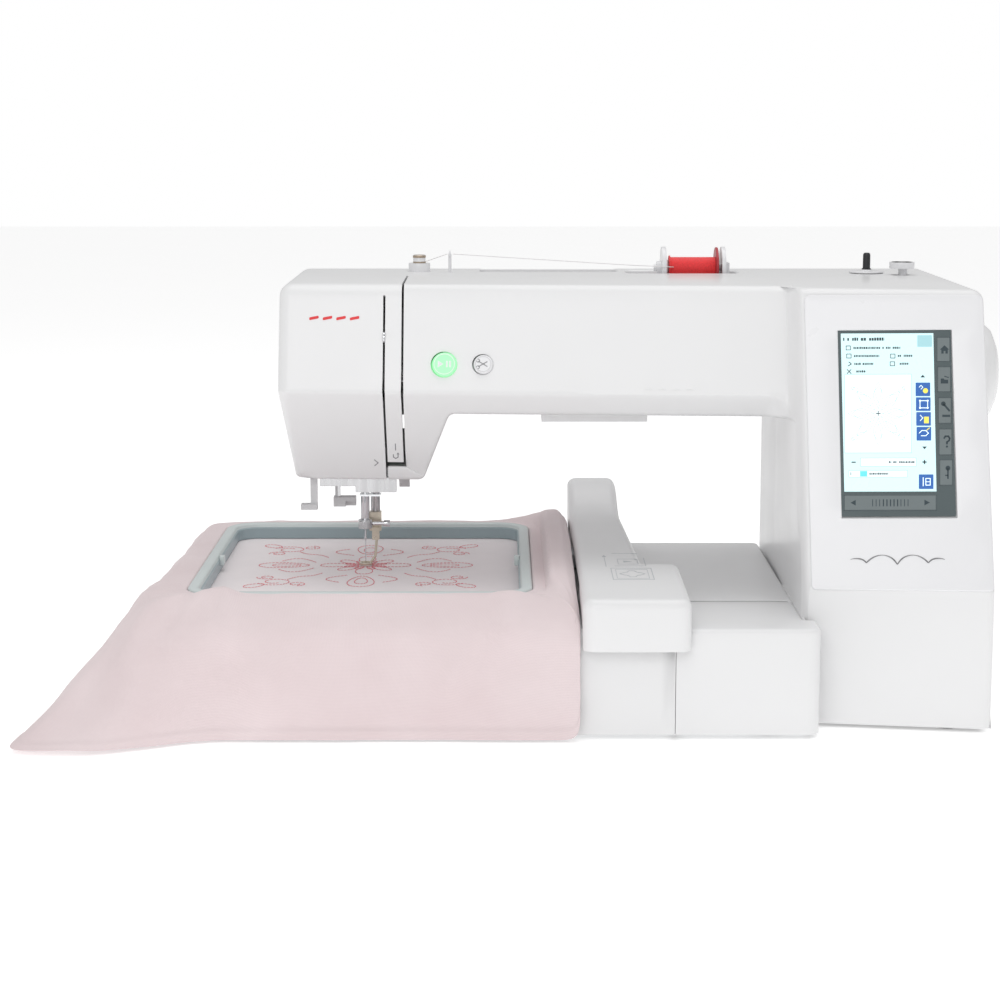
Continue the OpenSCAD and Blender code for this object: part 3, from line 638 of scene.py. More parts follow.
# frames lying on the two leaning faces
C20, S20 = math.cos(math.radians(20)), math.sin(math.radians(20))
CZ, SZ = math.cos(math.radians(8.42)), math.sin(math.radians(8.42))
CA, SA = math.cos(math.radians(3.54)), math.sin(math.radians(3.54))


def col_pt(u, y, h):
    y1 = y * C20 + h * S20
    z1 = -y * S20 + h * C20
    return (306 + u * CZ + y1 * SZ, -172 - u * SZ + y1 * CZ, 97 + z1)


def arm_pt(u, y, h):
    """u from x=-56 along the arm, h up the face from the crease, y into the face."""
    y1 = y * C20 + h * S20
    z1 = -y * S20 + h * C20
    return (-56 + u * CA + y1 * SA, -88 - u * SA + y1 * CA, 219 + z1)


def arm_uh(x, z):
    return (x + 56) * 1.002, (z - 219) / math.cos(math.radians(20.05))


# ------------------------------------------------------------------ casing
def front_y(x, z):
    x = np.asarray(x, float)
    z = np.asarray(z, float)
    yc = -88 - 22 * (x + 56) / 362
    t = z - 219
    up = .3649 * np.where(z < 97, 97 - 219, t)
    sl = .696 + (.625 - .696) * smooth01((x - 64) / 16)
    rho = np.where(x < 287, z - 203, np.hypot(x - 287, np.maximum(z - 203, 0)))
    bev = np.where((x < 150), -sl * t, up + .99 * np.maximum(16 - rho, 0))
    bev = np.where((x >= 303) & (z < 203), up, bev)
    k = 1.6
    a = .5 * (up + bev + np.sqrt((up - bev) ** 2 + k * k)) - .0
    a = np.where((x >= 150) & (rho > 19), up, a)
    arm = yc + a
    col = -172 - .148 * (x - 306) + .364 * np.maximum(z - 97, 0)
    f = smooth01((x - 299.5) / 9.5)
    return arm * (1 - f) + col * f


def surf_front(u, v):
    return np.stack([u, front_y(u, v), v], 1)


def clean(poly, eps=1e-6):
    out = [poly[0]]
    for p in poly[1:]:
        if math.hypot(p[0] - out[-1][0], p[1] - out[-1][1]) > eps:
            out.append(p)
    return out


H2 = rpoly([(19.8, 150), (45, 150), (65, 203), (303.5, 203), (303.5, 3), (431, 3), (431, 293), (32.8, 293), (32.8, 161), (19.8, 161)],
           [0, 6, 6, 1.2, 0, 0, 8, 0, 0, 0])
lowc = [p for p in H2 if p[0] <= 306.01 and p[1] <= 203.2 and p[1] >= 2 and not (p[0] in (19.8, 32.8) and p[1] == 161)]
topc = [(431, 4)] + rpoly([(431, 4), (431, 293), (32.8, 293)], [0, 8, 0])[1:-1] + [(32.8, 293)]
# key holes and the screen cut-out, clockwise
def ell(cx, cz, rx, rz, n=40):
    return [(cx + rx * math.cos(-2 * math.pi * k / n), cz + rz * math.sin(-2 * math.pi * k / n)) for k in range(n)]
KEY1, KEY2 = (61.2, 238.4), (88.4, 238.6)
c1 = ell(*KEY1, 9.1, 8.55)
c2 = ell(*KEY2, 7.3, 6.86)
scr = [(334, 146), (334, 263), (405, 264), (405, 147)]
crs = [[(33, 219 + d), (286, 219 + d)] for d in (-3, -1.2, 0, 1.2, 3)] + \
      [[(x, 3.5), (x, 292)] for x in (304.6, 306, 307.4, 308.4, 309.2)] + [[(x, 204), (x, 292)] for x in (299.6, 301, 302.2, 303.4)] + \
      [[(309.4, 97 + d), (430.5, 97 + d)] for d in (-.8, 0, .8)] + \
      [[(287 + r * math.cos(a), 203 + r * math.sin(a)) for a in np.linspace(math.pi / 2, .12, 12)] for r in (9, 12, 14, 15, 16)]
def front_wall(p):
    if p[0] < 304.5 and p[0] > 303 and p[2] < 202.5:
        return (307.3, 19.8, p[2])
    return (p[0], 19.8, p[2])


front_shell = relief("front_casing", H2, surf_front, (0, 1, 0), WHITE, "casing", holes=[c1, c2, scr],
                     curves=[(topc, 5, False), (lowc, 2.6, False), (c1, .7, True), (c2, .6, True)],
                     creases=crs, walls=[(dens([(431, 3), (431, 285)], 9, False), False), (dens(topc, 9, False), False), (dens(lowc, 9, False), False), ([(303.5, 3), (431, 3)], False)],
                     wall_to=front_wall, thick=2.5, replaces=("front_shell",))
boolean(front_shell, prism("cut1", [(130, -72), (205, -72), (205, -48), (130, -48)], "z", 196, 210), angle=30)
boolean(front_shell, prism("cut2", [(299, -174.5), (306.4, -174.5), (306.4, -60), (299, -60)], "z", -1, 75.3), angle=30)

FC = rpoly([(-48, 150), (18.2, 150), (18.2, 285.5), (19.8, 285.5), (19.8, 164.5), (31.2, 164.5), (31.2, 293), (-56, 293), (-56, 219)],
           [5, 0, 0, 0, 0, 0, 0, 9, 3])
fc_round = rpoly([(31.2, 293), (-56, 293), (-56, 219), (-48, 150), (-40, 150)], [0, 9, 3, 5, 0])
fc_low = [(-42.5, 150), (18.2, 150)]
crs2 = [[(-55.5, 219 + d), (17.9, 219 + d)] for d in (-3, -1.2, 0, 1.2, 3)] + [[(20, 219 + d), (31, 219 + d)] for d in (-3, -1.2, 0, 1.2, 3)]
face_cover = relief("face_cover_skin", FC, surf_front, (0, 1, 0), WHITE, "casing", curves=[(fc_round, 8, False), (fc_low, 2, False)], creases=crs2,
                    walls=[(dens(fc_round, 9, False), False), (fc_low, False)],
                    wall_to=lambda p: (p[0], 19.8, p[2]), thick=2.5, replaces=("face_cover",))


# ------------------------------------------------------------------ rear half of the casing
HB = rpoly([(-54.1, 203), (-56, 219), (-56, 293), (431, 293), (431, 3), (306.8, 3), (306.8, 203)], [0, 3, 9, 8, 0, 0, 1.5])[::-1]
rb_round = rpoly([(-54.1, 203), (-56, 219), (-56, 293), (431, 293), (431, 3)], [0, 3, 9, 8, 0])[::-1]
rb_low = [(-54.1, 203), (306.8, 203), (306.8, 3)]


def surf_back(u, v):
    return np.stack([u, 111 + 0 * u, v], 1)


def rear_wall(p):
    if 306 < p[0] < 309.5 and p[2] < 202.5:
        return (307.3, 20.2, p[2])
    return (p[0], 20.2, p[2])


rear = relief("rear_casing", HB, surf_back, (0, -1, 0), WHITE, "casing", curves=[(rb_round, 9, False), (rb_low, 2.5, False)],
              wall_to=rear_wall, thick=2.5, grid=14, replaces=("rear_shell",))


def rrect(x0, y0, x1, y1, r, n=8):
    return rpoly([(x0, y0), (x1, y0), (x1, y1), (x0, y1)], r, n)


def loft(name, loops, mat, body=None, close=True, angle=32, **kw):
    """Closed body through stacked loops of equal count (3D points), capped at both ends."""
    n = len(loops[0])
    vs = [p for l in loops for p in l]
    fs = []
    for k in range(len(loops) - 1):
        for i in range(n):
            j = (i + 1) % n
            fs.append((k * n + i, k * n + j, (k + 1) * n + j, (k + 1) * n + i))
    if close:
        fs.append(tuple(range(n))[::-1])
        fs.append(tuple((len(loops) - 1) * n + i for i in range(n)))
    o = obj_from(name, vs, fs, mat, body, angle, **kw)
    bm = bmesh.new()
    bm.from_mesh(o.data)
    bmesh.ops.recalc_face_normals(bm, faces=bm.faces)
    bm.to_mesh(o.data)
    bm.free()
    return o


def cavity(x0, y0, x1, y1, z0, z1, r, rf=3.):
    ls = [[(x, y, z0) for x, y in rrect(x0 + rf, y0 + rf, x1 - rf, y1 - rf, max(r - rf, .5))]]
    for a in (30, 60, 90):
        w = rf * (1 - math.sin(math.radians(a)))
        h = rf * (1 - math.cos(math.radians(a)))
        ls.append([(x, y, z0 + h) for x, y in rrect(x0 + w, y0 + w, x1 - w, y1 - w, max(r - w, .5))])
    ls.append([(x, y, z1 - 1.2) for x, y in rrect(x0, y0, x1, y1, r)])
    ls.append([(x, y, z1) for x, y in rrect(x0 - 1.2, y0 - 1.2, x1 + 1.2, y1 + 1.2, r + 1.2)])
    ls.append([(x, y, z1 + 8) for x, y in rrect(x0 - 1.2, y0 - 1.2, x1 + 1.2, y1 + 1.2, r + 1.2)])
    return loft("cut", ls, WHITE)


for (x0, y0, x1, y1, z0) in ((194.2, 44, 283, 88, 274), (83, 62, 192, 107, 277)):
    boolean(rear, prism("blk", rrect(x0, y0, x1, y1, 3), "z", z0, 292.2), "UNION", angle=30)
boolean(rear, cavity(196.5, 46.5, 280.5, 85.5, 276.5, 293.1, 6), angle=30)
boolean(rear, cavity(85, 64, 190, 106.5, 279, 293.1, 6), angle=30)
boolean(rear, prism("c", rrect(371.5, 45.5, 387, 54.5, 3), "z", 280, 300), angle=30)
boolean(rear, prism("c", rrect(391.9, 25.9, 406.1, 34.1, 3.9), "z", 280, 300), angle=30)
boolean(rear, prism("c", [(52.6, 54), (69.4, 54), (69.4, 86), (52.6, 86)], "x", 425, 440), angle=30)
boolean(rear, prism("c", rrect(34, 22, 92, 48, 3), "x", 425, 440), angle=30)
for k in range(8):
    boolean(rear, prism("c", rrect(330, 60 + k * 10, 410, 64 + k * 10, 1.9), "y", 104, 120), angle=30)

pod = relief("head_back", rpoly([(-48, 150), (45, 150), (65, 203), (-54.1, 203)], [5, 6, 0, 0]),
             lambda u, v: np.stack([u, 50 + (v - 150) * .36, v], 1), (0, -1, 0), WHITE, "casing",
             curves=[(rpoly([(65, 203), (45, 150), (-48, 150), (-54.1, 203)], [0, 6, 5, 0])[::-1], 5, False)],
             walls=[(rpoly([(65, 203), (45, 150), (-48, 150), (-54.1, 203)], [0, 6, 5, 0]), False)],
             wall_to=lambda p: (p[0], 20.2, p[2]), thick=2.2)
boolean(pod, prism("c", [(22, 148), (32.5, 148), (32.5, 184), (22, 184)], "y", 38, 90), angle=30)

# ------------------------------------------------------------------ screen and its panel
PY = lambda x, z, off: -172 - .148 * (x - 306) + .364 * (z - 97) - off
NRM = Vector((SZ * C20, CZ * C20, -S20))
pan_o = rpoly([(309.8, 96.2), (429.4, 98.2), (429.4, 290.2), (309.8, 288.6)], [3, 3, 4, 4])
pan_h = [(331.2, 142.3), (331.9, 265.2), (407.8, 266.7), (407.1, 144.3)]


def pan_wall(p):
    q = Vector(p) + NRM * 1.7
    return tuple(q)


relief("display_frame", pan_o, lambda u, v: np.stack([u, PY(u, v, 2.55), v], 1), tuple(NRM), WHITE2, "casing", holes=[pan_h],
       curves=[(pan_o, 1.0, True), (pan_h, .8, True)], walls=[(dens(pan_o, 10), True), (dens(pan_h, 4), True)],
       wall_to=pan_wall, thick=.9, grid=12, replaces=("display_panel",))

CT = {"tl": (17.3, 178.94), "tr": (93.69, 180.35), "bl": (22.86, 48.57), "br": (99.24, 50.67)}


def scr_pt(px, py, y):
    """Screen face point from picture-plane layout units."""
    t = (py - 329) / 187.2
    L = 837.3 + 3.7 * t
    R = 950.7 + 5.5 * t
    a = (px - L) / (R - L)
    b = 1 - t
    u = (CT["bl"][0] * (1 - a) + CT["br"][0] * a) * (1 - b) + (CT["tl"][0] * (1 - a) + CT["tr"][0] * a) * b
    h = (CT["bl"][1] * (1 - a) + CT["br"][1] * a) * (1 - b) + (CT["tl"][1] * (1 - a) + CT["tr"][1] * a) * b
    return col_pt(u, y, h)


class Ink:
    def __init__(s, name, fn, y0, y1, mat, body="casing"):
        s.v, s.f, s.name, s.fn, s.y0, s.y1, s.mat, s.body = [], [], name, fn, y0, y1, mat, body

    def poly(s, pts):
        n = len(pts)
        k = len(s.v)
        s.v += [s.fn(a, b, s.y0) for a, b in pts] + [s.fn(a, b, s.y1) for a, b in pts]
        s.f += [tuple(range(k, k + n))[::-1], tuple(range(k + n, k + 2 * n))]
        s.f += [(k + i, k + (i + 1) % n, k + n + (i + 1) % n, k + n + i) for i in range(n)]

    def rect(s, x0, y0, x1, y1, r=0):
        s.poly(rpoly([(x0, y0), (x1, y0), (x1, y1), (x0, y1)], r, 3) if r else [(x0, y0), (x1, y0), (x1, y1), (x0, y1)])

    def disc(s, x, y, r, n=20, ry=None):
        s.poly([(x + r * math.cos(2 * math.pi * i / n), y + (ry or r) * math.sin(2 * math.pi * i / n)) for i in range(n)])

    def line(s, pts, w):
        for a, b in zip(pts[:-1], pts[1:]):
            a, b = Vector(a), Vector(b)
            d = (b - a)
            if d.length < 1e-6:
                continue
            n = Vector((-d.y, d.x)).normalized() * w / 2
            e = d.normalized() * w * .3
            s.poly([tuple(a + n - e), tuple(b + n + e), tuple(b - n + e), tuple(a - n - e)])

    def frame(s, x0, y0, x1, y1, w):
        s.line([(x0, y0), (x1, y0), (x1, y1), (x0, y1), (x0, y0)], w)

    def done(s, **kw):
        o = obj_from(s.name, s.v, s.f, s.mat, s.body, 40, **kw)
        bm = bmesh.new()
        bm.from_mesh(o.data)
        bmesh.ops.recalc_face_normals(bm, faces=bm.faces)
        bm.to_mesh(o.data)
        bm.free()
        return o


bz = Ink("screen_body", scr_pt, -.5, -2.1, BEZEL)
bz.poly(rpoly([(837.3, 329), (950.7, 328.6), (956.2, 516.2), (841, 516.3)], 1.2, 4))
bz.done(replaces=("touch_screen",), slot="screen")
sk = Ink("screen_soft_keys", scr_pt, -2.1, -2.28, KEYM)
for (y0, y1) in ((337.5, 362.5), (367.3, 393), (398.3, 424.5), (429.6, 456), (460.3, 486)):
    d = (y0 - 337.5) / 187 * 4.2
    sk.rect(936.8 + d, y0, 950.2 + d * .95, y1, 1.2)
sk.rect(844.0, 495, 936.6, 510.6, 1.2)
sk.done()
ed = Ink("screen_key_lines", scr_pt, -2.28, -2.34, INKD)
for (y0, y1) in ((337.5, 362.5), (367.3, 393), (398.3, 424.5), (429.6, 456), (460.3, 486)):
    d = (y0 - 337.5) / 187 * 4.2
    ed.frame(937.2 + d, y0 + .4, 949.8 + d * .95, y1 - .4, .45)
ed.frame(844.4, 495.5, 936.2, 510.2, .45)
# house, folder, spanner, question, key, arrows, bar
hx, hy = 944.6, 350.3
ed.poly([(hx - 4.6, hy), (hx, hy - 4.4), (hx + 4.6, hy)])
ed.rect(hx - 3.2, hy, hx - .9, hy + 4)
ed.rect(hx + .9, hy, hx + 3.2, hy + 4)
ed.rect(hx - .9, hy, hx + .9, hy + 1.4)
hx, hy = 945.2, 381.4
ed.poly([(hx - 4.4, hy - 2), (hx - 1.4, hy - 2), (hx - .6, hy - .8), (hx + 3, hy - .8), (hx + 3, hy + 3), (hx - 4.4, hy + 3)])
ed.line([(hx - .5, hy - 4.2), (hx + 3.4, hy - 3.0)], .9)
hx, hy = 946.2, 407.5
ed.line([(hx - 2.4, hy - 2.4), (hx + 3.2, hy + 4.2)], 2.)
ed.disc(hx - 2.8, hy - 2.8, 2.3)
ed.rect(hx - 3.8, hy + 8.2, hx + 4, hy + 10.4)
hx, hy = 947.0, 442.2
ed.line([(hx - 2.8, hy - 3), (hx - 1.6, hy - 5), (hx + 1.4, hy - 5), (hx + 2.8, hy - 3), (hx + 2.2, hy - .8), (hx, hy + .8), (hx, hy + 2.6)], 1.7)
ed.disc(hx, hy + 5.2, 1.1)
hx, hy = 948.0, 473
ed.disc(hx, hy - 4.2, 2.4)
ed.line([(hx, hy - 4), (hx, hy + 6)], 1.5)
ed.line([(hx, hy + 3), (hx - 2.4, hy + 3)], 1.1)
ed.poly([(850.6, 502.8), (855.8, 500), (855.8, 505.6)])
ed.poly([(930.0, 502.8), (924.6, 500), (924.6, 505.6)])
for k in range(11):
    ed.rect(872.4 + k * 3.55, 499.6, 872.4 + k * 3.55 + (1.1 if 2 < k < 8 else .7), 506.4)
ed.done()
lc = Ink("lcd_page", scr_pt, -2.1, -2.24, LCDM)
lc.poly([(840.8, 333.6), (933.4, 333.6), (936.6, 491.8), (844.4, 491.8)])
lc.done()
lw = Ink("lcd_boxes", scr_pt, -2.24, -2.30, LCDW)
lw.rect(844.8, 375, 911.6, 453.4)
lw.rect(860.8, 458.8, 916.4, 466.8)
lw.rect(849, 471, 907.6, 477.4)
lw.done()
tx = Ink("lcd_lines", scr_pt, -2.30, -2.36, INKC)
tx.frame(844.8, 375, 911.6, 453.4, .45)
tx.frame(860.8, 458.8, 916.4, 466.8, .4)
tx.frame(849, 471, 907.6, 477.4, .4)
cx, cy = 878.4, 414.2
for k in range(8):
    a0 = k * math.pi / 4
    for sgn in (-1, 1):
        for (ra, rb2, wd) in ((4, 26, .30), (10, 30, .16)):
            pts = []
            for i in range(13):
                t = i / 12
                r = ra + (rb2 - ra) * t
                a = a0 + sgn * wd * math.sin(math.pi * t)
                pts.append((cx + r * math.cos(a), cy + r * math.sin(a) * 1.04))
            tx.line(pts, .32)
    if k % 2:
        for (r0, rr) in ((33, 3.2), (36, 1.6)):
            mx2, my2 = cx + r0 * math.cos(a0), cy + r0 * math.sin(a0)
            tx.line([(mx2 + rr * math.cos(i * .7), my2 + rr * math.sin(i * .7)) for i in range(10)], .3)
tx.done()
dk = Ink("lcd_ink", scr_pt, -2.30, -2.38, INKD)
r2 = np.random.default_rng(3)


def greek(ink, x, y, x1, hgt=2.6, w=1.25):
    while x < x1:
        ww = w * float(r2.uniform(.7, 1.5))
        if r2.random() > .14:
            ink.rect(x, y - hgt * float(r2.uniform(.35, .5)), min(x + ww, x1), y + hgt * .42)
        x += ww + .55


greek(dk, 843.2, 339.5, 884.5, 3.4, 1.6)
for (x0, y, x1) in ((853.6, 348.3, 900.6), (854, 356.4, 879.4), (898, 356.4, 913), (854.4, 364.4, 873.6), (897.8, 364.4, 909), (855, 372.0, 866), (889, 462.8, 915), (869.6, 474.2, 889)):
    greek(dk, x0, y, x1, 2.3, 1.1)
for (x, y) in ((848.4, 348.2), (849, 356.4), (893, 356.6), (892.6, 364.4)):
    dk.frame(x - 2.2, y - 2, x + 2.2, y + 2, .6)
dk.line([(849, 362.4), (851.5, 364.4), (848.2, 366.4)], .8)
dk.line([(847.2, 370), (851.2, 374)], .7)
dk.line([(851.2, 370), (847.2, 374)], .7)
dk.line([(cx - 2.2, cy), (cx + 2.2, cy)], .8)
dk.line([(cx, cy - 2.2), (cx, cy + 2.2)], .8)
dk.poly([(920.6, 378.2), (925.2, 378.2), (922.9, 375.6)])
dk.poly([(922.4, 447.4), (927, 447.4), (924.7, 450)])
dk.rect(851.6, 462.2, 855.8, 463.3)
dk.rect(922.6, 462.2, 926.8, 463.3)
dk.rect(924.1, 460.7, 925.3, 464.8)
dk.rect(850.6, 472.6, 851.4, 475.8)
dk.done()
bl = Ink("lcd_blue_icons", scr_pt, -2.24, -2.30, INKB)
for k in range(4):
    d = k * .32
    bl.rect(915.8 + d, 383.4 + k * 14.8, 930.4 + d, 397 + k * 14.8, .6)
bl.rect(919, 475, 933.6, 489.4, .6)
bl.done()
bw = Ink("lcd_icon_white", scr_pt, -2.30, -2.36, LCDW)
bw.frame(920.2, 401.6, 927.8, 408.8, .8)
for p in ((920.2, 401.6), (927.8, 401.6), (920.2, 408.8), (927.8, 408.8)):
    bw.disc(*p, 1.)
bw.line([(919.4, 388), (921.2, 386.2), (923, 388), (921.2, 390)], .7)
bw.line([(919.4, 434), (922, 431.4), (926, 431.4), (928.6, 434), (926, 436.6), (921.4, 436.6)], .8)
bw.line([(920.4, 416), (923, 418.8), (920.4, 421.6)], .7)
bw.line([(923.4, 478.2), (923.4, 486.4)], .9)
bw.frame(926, 479, 930.4, 485.6, .8)
bw.line([(926, 482.3), (930.4, 482.3)], .6)
bw.done()
by = Ink("lcd_icon_yellow", scr_pt, -2.30, -2.37, INKY)
by.disc(925.6, 391.6, 2.6)
by.rect(924.2, 417.6, 929, 424.2)
by.line([(927, 431), (929.6, 428.8)], .9)
by.done()
bc = Ink("lcd_icon_cyan", scr_pt, -2.24, -2.32, INKCY)
bc.rect(860.2, 471.5, 867.4, 476.9)
bc.done()
bt = Ink("lcd_corner_icon", scr_pt, -2.24, -2.29, INKC)
bt.rect(917.4, 335.6, 932.2, 347.4, .6)
bt.done()

# ------------------------------------------------------------------ marks on the casing (generic)
arm_xy = lambda a, b, y: arm_pt(a, y, b)
rd = Ink("red_stitch_mark", arm_xy, .3, -.14, REDINK)
for k in range(4):
    x = 21 + k * 9.6
    rd.poly(rpoly([(x, 52.2), (x + 6.6, 53.6), (x + 6.6, 55.6), (x, 54.2)], .6, 3))
rd.done()
fl = Ink("flourish", lambda a, b, y: col_pt(a, y, b), -2.3, -2.66, INKG)
fp = []
for i in range(90):
    t = i / 89
    fp.append((30 + 62 * t + 2.6 * math.sin(t * 6 * math.pi), 19.2 + 1.8 * t + (3.2 * math.cos(t * 6 * math.pi)) * math.sin(math.pi * t) ** .6))
for i in range(len(fp) - 1):
    fl.line(fp[i:i + 2], .35 + .55 * abs(math.sin(i / 89 * 6 * math.pi)))
fl.done()


def face_xy(a, b, y):
    return (a, float(front_y(a, b)) + y, b)


mk = Ink("thread_path_marks", face_xy, .3, -.16, INKG)
mk.line([(25.8, 179.2), (25.8, 174.2)], .7)
mk.line([(24, 170.6), (24, 168.6), (25.6, 167.4), (27.4, 168.6), (27.4, 171)], .7)
mk.poly([(26.4, 170.8), (28.4, 170.8), (27.4, 172.4)])
mk.line([(10.2, 166.2), (12.8, 163.8), (10.2, 161.4)], .7)
mk.done()

# ------------------------------------------------------------------ keys on the head


def lathe(name, prof, put, mat, body, n=56, angle=35, **kw):
    """Revolve (r, a) pairs; put(x, y, a) places a point across and along the axis."""
    loops = []
    for r, a in prof:
        loops.append([put(max(r, .001) * math.cos(2 * math.pi * i / n), max(r, .001) * math.sin(2 * math.pi * i / n), a) for i in range(n)])
    return loft(name, loops, mat, body, True, angle, **kw)


def on_arm_disc(u0, h0):
    return lambda x, z, a: arm_pt(u0 + x, a, h0 + z)


ku1, kh1 = arm_uh(*KEY1)
ku2, kh2 = arm_uh(*KEY2)
for nm, (u0, h0), r, m, nd, bd, sl in (("start_key", (ku1, kh1), 8.7, GREENK, "start_button", "start", "green_key"), ("cutter_key", (ku2, kh2), 6.9, WHITE2, "cutter_button", "cutter", "white_shell")):
    lathe(nm, [(0, -1.75), (r * .5, -1.8), (r - 1.6, -1.95), (r - .8, -1.8), (r - .25, -1.3), (r - .05, -.5), (r - .05, 4.4), (r + 1.3, 4.5), (r + 1.3, 6), (0, 6)],
          on_arm_disc(u0, h0), m, bd, replaces=(nd,), slot=sl)
    rg = Ink(nm + "_ring", arm_xy, -1.7, -2.02, LGREY if nd == "cutter_button" else WHITE2, bd)
    n = 44
    for i in range(n):
        a, b = 2 * math.pi * i / n, 2 * math.pi * (i + 1) / n
        ro, ri = r - 1.25, r - 1.75
        rg.poly([(u0 + ro * math.cos(a), h0 + ro * math.sin(a)), (u0 + ro * math.cos(b), h0 + ro * math.sin(b)), (u0 + ri * math.cos(b), h0 + ri * math.sin(b)), (u0 + ri * math.cos(a), h0 + ri * math.sin(a))])
    rg.done()
sy = Ink("start_key_symbol", arm_xy, -1.6, -2.0, WHITE2, "start")
sy.poly([(ku1 - 4.6, kh1 - 2.6), (ku1 - 4.6, kh1 + 2.6), (ku1 - .6, kh1)])
sy.rect(ku1 + 1.2, kh1 - 2.3, ku1 + 2.5, kh1 + 2.3)
sy.rect(ku1 + 3.4, kh1 - 2.3, ku1 + 4.7, kh1 + 2.3)
sy.done()
sy = Ink("cutter_key_symbol", arm_xy, -1.6, -1.98, INKG, "cutter")
sy.line([(ku2 - 3.2, kh2 + 1.9), (ku2 + 2.8, kh2 - 1.7)], .6)
sy.line([(ku2 - 3.2, kh2 - 1.9), (ku2 + 2.8, kh2 + 1.7)], .6)
for q in (-1, 1):
    sy.line([(ku2 - 3.6 + 1.1 * math.cos(i * .7), kh2 + q * 2.4 + 1.1 * math.sin(i * .7)) for i in range(10)], .45)
sy.done()
# ------------------------------------------------------------------ bed covers
flat = lambda z: (lambda u, v: np.stack([u, v, z + 0 * u], 1))
down3 = lambda p: (p[0], p[1], 3.0)
bc_in = rpoly([(305.6, -114.2), (305.6, 111), (-72, 111), (-72, 40.3)], [0, 6, 6, 0])
BC = [(-72, -114.2), (51.8, -114.2), (51.8, -112), (302, -112), (302, -114.2)] + bc_in + [(60.3, 40.3), (60.3, -96.3), (-72, -96.3)]
bed = relief("bed_top", BC, flat(75), (0, 0, -1), WHITE, "casing",
             curves=[([(302, -114.2)] + bc_in, 2.6, False), ([(-72, -96.3), (-72, -114.2)], 2.6, False), ([(51.8, -112), (302, -112)], .8, False)],
             walls=[([(305.6, -114.2)] + bc_in[1:], False), ([(-72, -96.3), (-72, -114.2)], False)], wall_to=down3, thick=2.5, grid=16,
             replaces=("bed_cover",))
sw = rpoly([(-96.3, 3), (40.3, 3), (40.3, 73), (-96.3, 73)], [0, 0, 0, 0])
loft("bed_side_skirt", [[(x, p[0], p[1]) for p in rpoly([(-96.3 + e, 3), (40.3 - e, 3), (40.3 - e, 73 - e), (-96.3 + e, 73 - e)], .3, 2)] for x, e in ((-72, .3), (-71.7, 0), (-69.8, 0), (-69.5, .3))], WHITE, "casing")
FL = rpoly([(-72, -205), (217, -205), (217, -116), (51.9, -116), (51.9, -114.6), (-72, -114.6)], [6, 0, 0, 0, 0, 0])
fl_r = rpoly([(-72, -114.6), (-72, -205), (217, -205)], [0, 6, 0])
relief("front_cover_a", FL, flat(75), (0, 0, -1), WHITE, "casing", curves=[(fl_r, 3.2, False), ([(217, -205), (217, -116)], .5, False), ([(217, -116), (51.9, -116)], .8, False)],
       walls=[(fl_r, False), ([(217, -205), (217, -150)], False)], wall_to=down3, thick=2.5, grid=16, replaces=("front_cover_left",))
FR = rpoly([(217.4, -205), (314, -205), (314, -173.8), (305.6, -173.8), (305.6, -114.6), (302, -114.6), (302, -116), (217.4, -116)], [0, 9, 3, 0, 0, 0, 0, 0])
fr_r = rpoly([(217.4, -205), (314, -205), (314, -173.8), (305.6, -173.8), (305.6, -114.6)], [0, 9, 3, 0, 0])
relief("front_cover_b", FR, flat(75), (0, 0, -1), WHITE, "casing", curves=[(fr_r, 3.2, False), ([(217.4, -116), (217.4, -205)], .5, False), ([(302, -116), (217.4, -116)], .8, False)],
       walls=[(fr_r, False), ([(217.4, -150), (217.4, -205)], False)], wall_to=down3, thick=2.5, grid=14, replaces=("front_cover_right",))

# ------------------------------------------------------------------ embroidery arm
AZ_Y = [-218, 92, 100, 112, 124, 138, 146, 165]
AZ_Z = [97, 99.9, 100.3, 102.2, 108.6, 117, 119.2, 119.5]


def arm_z(y):
    y = np.asarray(y, float)
    k = np.linspace(-6, 6, 9)
    return np.mean([np.interp(y + d, AZ_Y, AZ_Z) for d in k], 0)


AO = rpoly([(155, -217), (227, -217), (227, -92), (201.6, -92), (193, 165), (155, 165)], [9, 9, 8, 4, 8, 9], 7)


AO = [q for p, n_ in zip(AO, AO[1:] + AO[:1]) for q in
      ([p] + ([(p[0], -207.3), (p[0], -206.7)] if p[1] < -207.4 and n_[1] > -206.6 else [(p[0], -206.7), (p[0], -207.3)] if p[1] > -206.6 and n_[1] < -207.4 else []))]


def arm_wall(p):
    return (p[0], p[1], 62.5 if p[1] < -207 else 77.3)


armc = relief("travel_arm", AO, lambda u, v: np.stack([u, v, arm_z(v)], 1), (0, 0, -1), WHITE, "arm",
              curves=[(AO, 6, True)], creases=[[(156, y), (226 if y < -94 else 194, y)] for y in (96, 100, 106, 112, 118, 124, 131, 138, 142, 146)],
              wall_to=arm_wall, thick=2.0, step=6, grid=8, replaces=("arm_cover",))
boolean(armc, prism("c", rpoly([(-142, 79.6), (122, 79.6), (122, 92.4), (-142, 92.4)], 3, 4), "x", 148, 160.5), angle=30)
ap = Ink("arm_pictogram", lambda a, b, h: (a, b, float(arm_z(b)) + h), -.25, .14, INKC if False else GREYP, "arm")
ap.frame(178, -150, 206, -112, .6)
ap.frame(181, -146, 203, -116, .4)
ap.line([(192 + 7 * math.cos(i * .45) * (1 + .25 * math.cos(i * 1.8)), -131 + 9 * math.sin(i * .45) * (1 + .25 * math.cos(i * 1.8))) for i in range(15)], .7)
ap.line([(175, -106), (175, -70)], .5)
ap.poly([(173.4, -72), (176.6, -72), (175, -66)])
ap.line([(181, -104), (203, -104), (203, -76)], .45)
ap.line([(184, -98), (198, -98), (198, -80), (184, -80), (184, -98)], .45)
ap.poly([(188, -92), (194, -89), (188, -86)])
ap.line([(181, -60), (199, -60)], .45)
ap.done()

# ------------------------------------------------------------------ hoop
HC = (4., -20.)
HX, HY = 110., 130.


